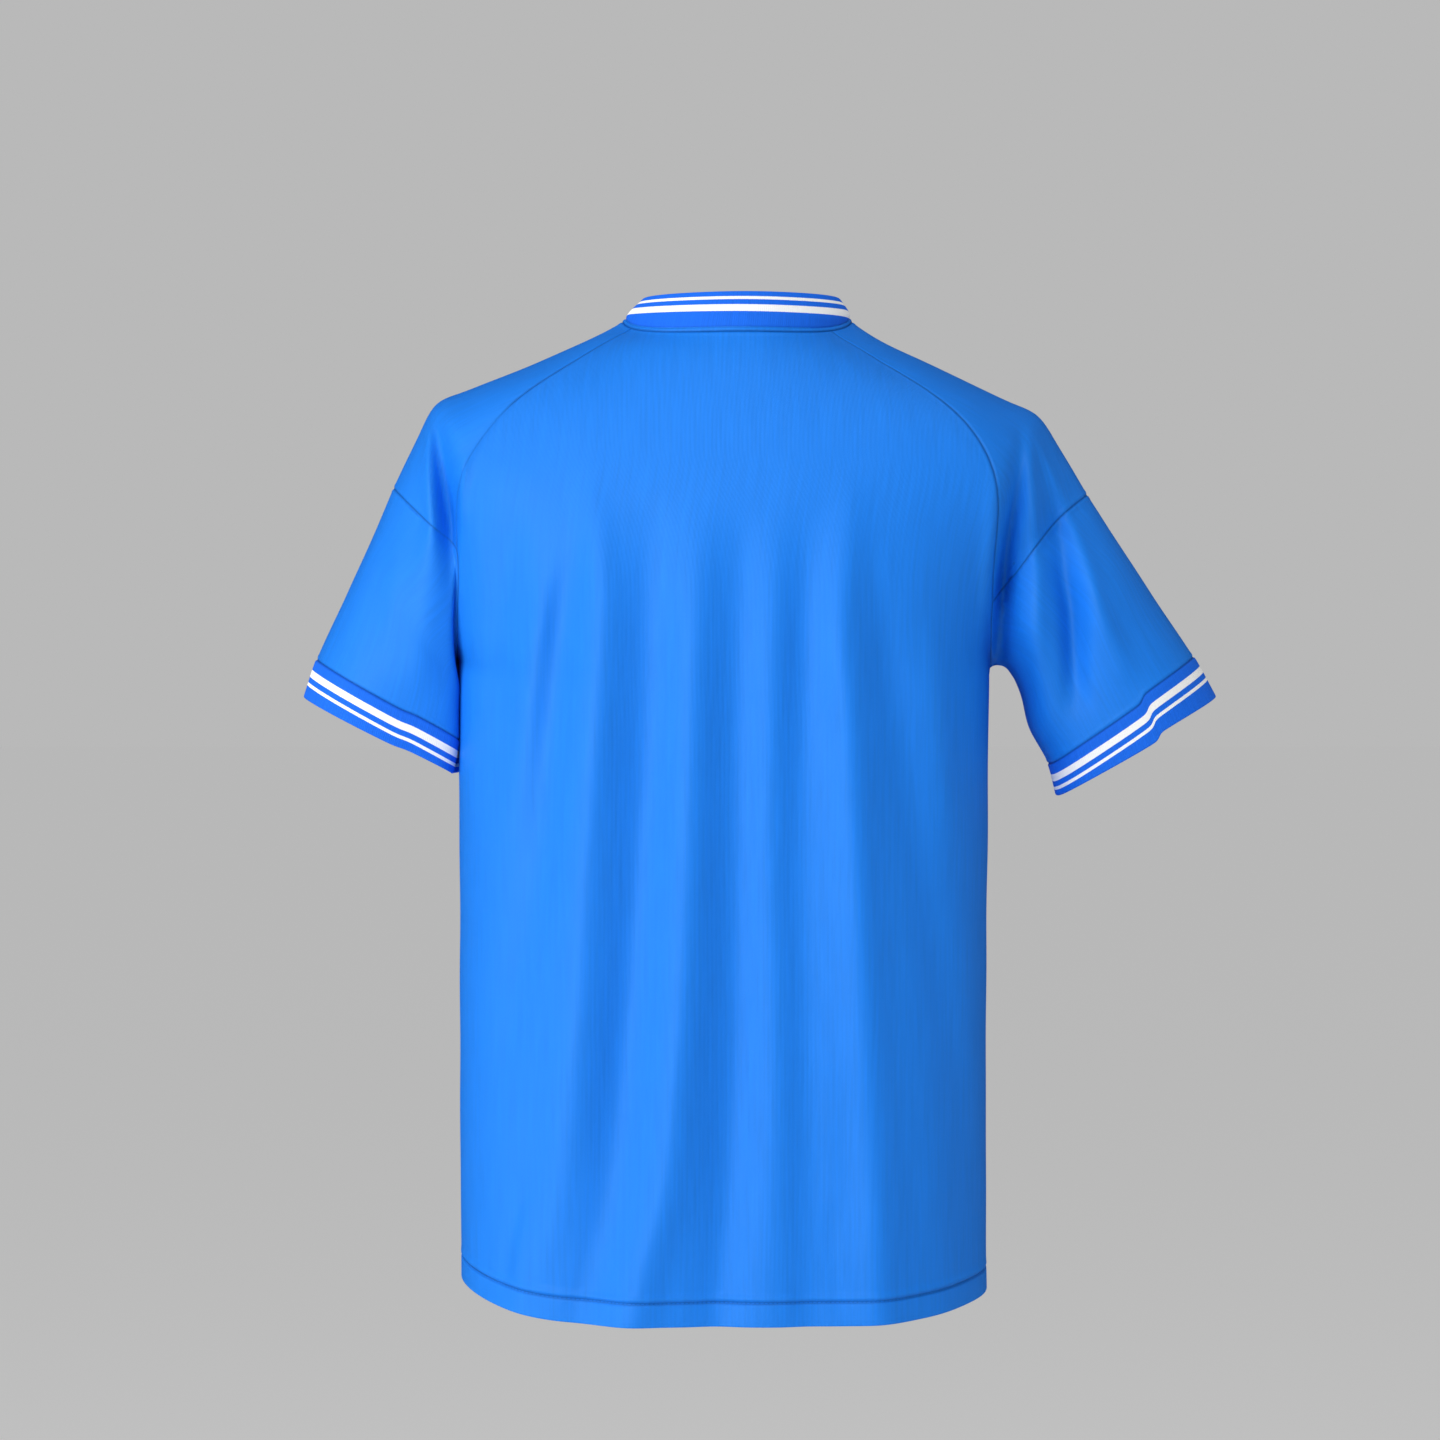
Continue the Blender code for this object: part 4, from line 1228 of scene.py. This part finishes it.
class Nodes:
    """A material's nodes, with short calls to add and join them."""

    def __init__(self, name):
        self.material = bpy.data.materials.new(name)
        self.material.use_nodes = True
        self.tree = self.material.node_tree
        self.shader = self.tree.nodes["Principled BSDF"]

    def join(self, value, socket):
        """Links a socket to another one, or gives it a fixed value."""
        if isinstance(value, bpy.types.NodeSocket):
            self.tree.links.new(value, socket)
        else:
            socket.default_value = value

    def add(self, kind, inputs=(), **settings):
        node = self.tree.nodes.new(kind)
        for key, value in settings.items():
            setattr(node, key, value)
        for place, value in enumerate(inputs):
            self.join(value, node.inputs[place])
        return node

    def math(self, operation, *inputs):
        return self.add("ShaderNodeMath", inputs, operation=operation).outputs[0]

    def mix(self, share, first, second):
        node = self.add("ShaderNodeMix", data_type="RGBA")
        for place, value in zip(MIX_INPUTS, (share, first, second)):
            self.join(value, node.inputs[place])
        return node.outputs[MIX_COLOUR]

    def cloth_places(self):
        """Where a point lies on the cloth: across it and up it, in metres."""
        uv = self.add("ShaderNodeUVMap", uv_map="cloth").outputs[0]
        return self.add("ShaderNodeSeparateXYZ", (uv,)).outputs[:2]

    def streaks(self, u, v, size):
        """A value about 0.5 that changes quickly across the cloth and slowly up it."""
        across = self.math("MULTIPLY", u, 1 / size)
        along = self.math("MULTIPLY", v, 1 / (STREAK_LENGTH * size))
        place = self.add("ShaderNodeCombineXYZ", (across, along, 0.0)).outputs[0]
        noise = self.add("ShaderNodeTexNoise", (place,))
        self.join(1.0, noise.inputs["Scale"])
        self.join(STREAK_DETAIL, noise.inputs["Detail"])
        return noise.outputs["Fac"]

    def streaked(self, blue, streaks):
        """The blue, a little lighter and darker from streak to streak."""
        shares = (1 - STREAK_SHARE, 1 + STREAK_SHARE)
        dim, light = (tuple(channel * share for channel in blue) + (1,) for share in shares)
        return self.mix(streaks, dim, light)

    def finish(self, colour, loops, sheen):
        """The material with its colour, darkened in the seams and grooves by painted shade, the loops' relief
        and the sheen.
        """
        # painted shade: the seams' and grooves' shade attribute mixes the colour towards black
        shade = self.add("ShaderNodeAttribute", attribute_name="painted_seam_shade").outputs["Fac"]
        dark = self.mix(SEAM_PAINTED_SHADE, colour, BLACK)
        bump = self.add("ShaderNodeBump")
        for name, value in (("Strength", 1.0), ("Distance", KNIT_RELIEF), ("Height", loops)):
            self.join(value, bump.inputs[name])
        roughness, level = sheen
        self.join(self.mix(shade, colour, dark), self.shader.inputs["Base Color"])
        self.join(bump.outputs["Normal"], self.shader.inputs["Normal"])
        self.join(roughness, self.shader.inputs["Roughness"])
        self.join(level, self.shader.inputs["Specular IOR Level"])
        self.join(SATIN_TINT, self.shader.inputs["Specular Tint"])
        return self.material


def jersey_material():
    nodes = Nodes("jersey_knit")
    u, v = nodes.cloth_places()
    wale = nodes.math("COSINE", nodes.math("MULTIPLY", u, 2 * math.pi / WALE))
    course = nodes.math("MULTIPLY_ADD", v, 2 * math.pi / COURSE, wale)
    loops = nodes.math("ADD", wale, nodes.math("SINE", course))
    colour = nodes.streaked(JERSEY_BLUE, nodes.streaks(u, v, STREAK))
    return nodes.finish(colour, loops, JERSEY_SHEEN)


def striped_rib(kind):
    """The rib's blue with its white stripes, which run round it at fixed distances from its top."""
    nodes = Nodes(f"rib_knit_{kind}")
    u, v = nodes.cloth_places()
    streaks = nodes.streaks(u, v, RIB_PITCH * MM)
    ragged = nodes.math("MULTIPLY_ADD", streaks, STRIPE_EDGE, v)
    white = 0.0
    for start, end in STRIPES[kind]:
        away = nodes.math("ABSOLUTE", nodes.math("SUBTRACT", ragged, (start + end) / 2))
        inside = nodes.math("MULTIPLY", nodes.math("SUBTRACT", (end - start) / 2, away), 1 / STRIPE_EDGE)
        clipped = nodes.add("ShaderNodeClamp", (inside, 0.0, 1.0)).outputs[0]
        white = nodes.math("ADD", white, clipped)
    colour = nodes.mix(white, nodes.streaked(RIB_BLUE, streaks), WHITE)
    loops = nodes.math("SINE", nodes.math("MULTIPLY", v, 2 * math.pi / COURSE))
    return nodes.finish(colour, loops, RIB_SHEEN)


# ---------------------------------------------------------------- the garment


def build_garment(materials):
    """Each piece's cloth, and its object."""
    points, grids = weld(garment())
    points, grids = smooth(relax(points, grids), grids)
    normals = normals_of(points, grids)
    pieces = {name: Cloth(name, points, normals, grid) for name, grid in grids.items()}
    for cloth in pieces.values():
        if cloth.kind in ("sleeve", "cuff"):
            cloth.jog()
        cloth.fold()
        cloth.add_seams()
        if cloth.kind in ("back", "front"):
            cloth.add_hem()
        if cloth.kind == "collar":
            cloth.add_neck_strip()
        if cloth.rib:
            cloth.add_ribs()
    return pieces, {name: add_cloth(cloth, materials) for name, cloth in pieces.items()}


materials = {"jersey": jersey_material()} | {kind: striped_rib(kind) for kind in STRIPES}
pieces, objects = build_garment(materials)
for name, obj in objects.items():
    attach(obj, "root")
    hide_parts(name)

stitch_rows = {}
for name in ("back_panel", "front_panel"):
    cloth = pieces[name]
    row = int(np.abs(cloth.up.mean(axis=1) - HEM).argmin())
    line = cloth.face("outer")[row]
    stitch_rows[name] = add_stitches(f"{name}_hem_stitches", line, cloth.normals[row], materials["jersey"])
    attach(stitch_rows[name], "root")


# ---------------------------------------------------------------- floor, light and camera

FLOOR_Z = -1.6
FLOOR_SIZE = 400.0
FLOOR_COLOUR = (0.99, 0.99, 0.99, 1)
FLOOR_ROUGHNESS = 0.8
WORLD_COLOUR = (1, 1, 1, 1)
WORLD_STRENGTH = 0.485
LIT_POINT = (0, 0, -0.35)
LIGHT_REACH = 3.2
LIGHT_SIZE = 1.6
LIGHTS = {  # azimuth and elevation in degrees, power in watts, and whether it shows in the cloth's sheen
    "key": (-26, 30, 54, True),
    "left": (-60, 0, 35.5, True),
    "right": (80, 25, 9, False),
}
CAMERA_PLACE = (-0.01224, -3.0, -0.2736)
LENS = 104.17
SENSOR = 36.0

bpy.ops.mesh.primitive_plane_add(size=FLOOR_SIZE, location=(0, 0, FLOOR_Z))
floor = bpy.context.object
floor.name = "floor"
pale = Nodes("floor_pale")
pale.shader.inputs["Base Color"].default_value = FLOOR_COLOUR
pale.shader.inputs["Roughness"].default_value = FLOOR_ROUGHNESS
pale.shader.inputs["Specular IOR Level"].default_value = 0.0
floor.data.materials.append(pale.material)
floor.visible_glossy = False

world = bpy.data.worlds.new("studio")
bpy.context.scene.world = world
world.use_nodes = True
background = world.node_tree.nodes["Background"]
background.inputs["Color"].default_value = WORLD_COLOUR
background.inputs["Strength"].default_value = WORLD_STRENGTH
world.cycles_visibility.glossy = False


def add_area_light(name, azimuth, elevation, power, in_sheen):
    """A round light that faces the garment, turned from the camera's side of it to the picture's right."""
    turn, rise = math.radians(azimuth), math.radians(elevation)
    level = math.cos(rise)
    out = Vector((math.sin(turn) * level, -math.cos(turn) * level, math.sin(rise)))
    light = bpy.data.lights.new(name, "AREA")
    light.shape = "DISK"
    light.size = LIGHT_SIZE
    light.energy = power
    obj = bpy.data.objects.new(name, light)
    obj.location = Vector(LIT_POINT) + LIGHT_REACH * out
    obj.rotation_euler = out.to_track_quat("Z", "Y").to_euler()
    obj.visible_glossy = in_sheen
    bpy.context.scene.collection.objects.link(obj)


for name, how in LIGHTS.items():
    add_area_light(name, *how)

camera = bpy.data.cameras.new("camera")
camera.lens = LENS
camera.sensor_width = SENSOR
camera_object = bpy.data.objects.new("camera", camera)
camera_object.location = CAMERA_PLACE
camera_object.rotation_euler = (math.pi / 2, 0, 0)
bpy.context.scene.collection.objects.link(camera_object)
bpy.context.scene.camera = camera_object
bpy.context.scene.view_settings.view_transform = "Standard"
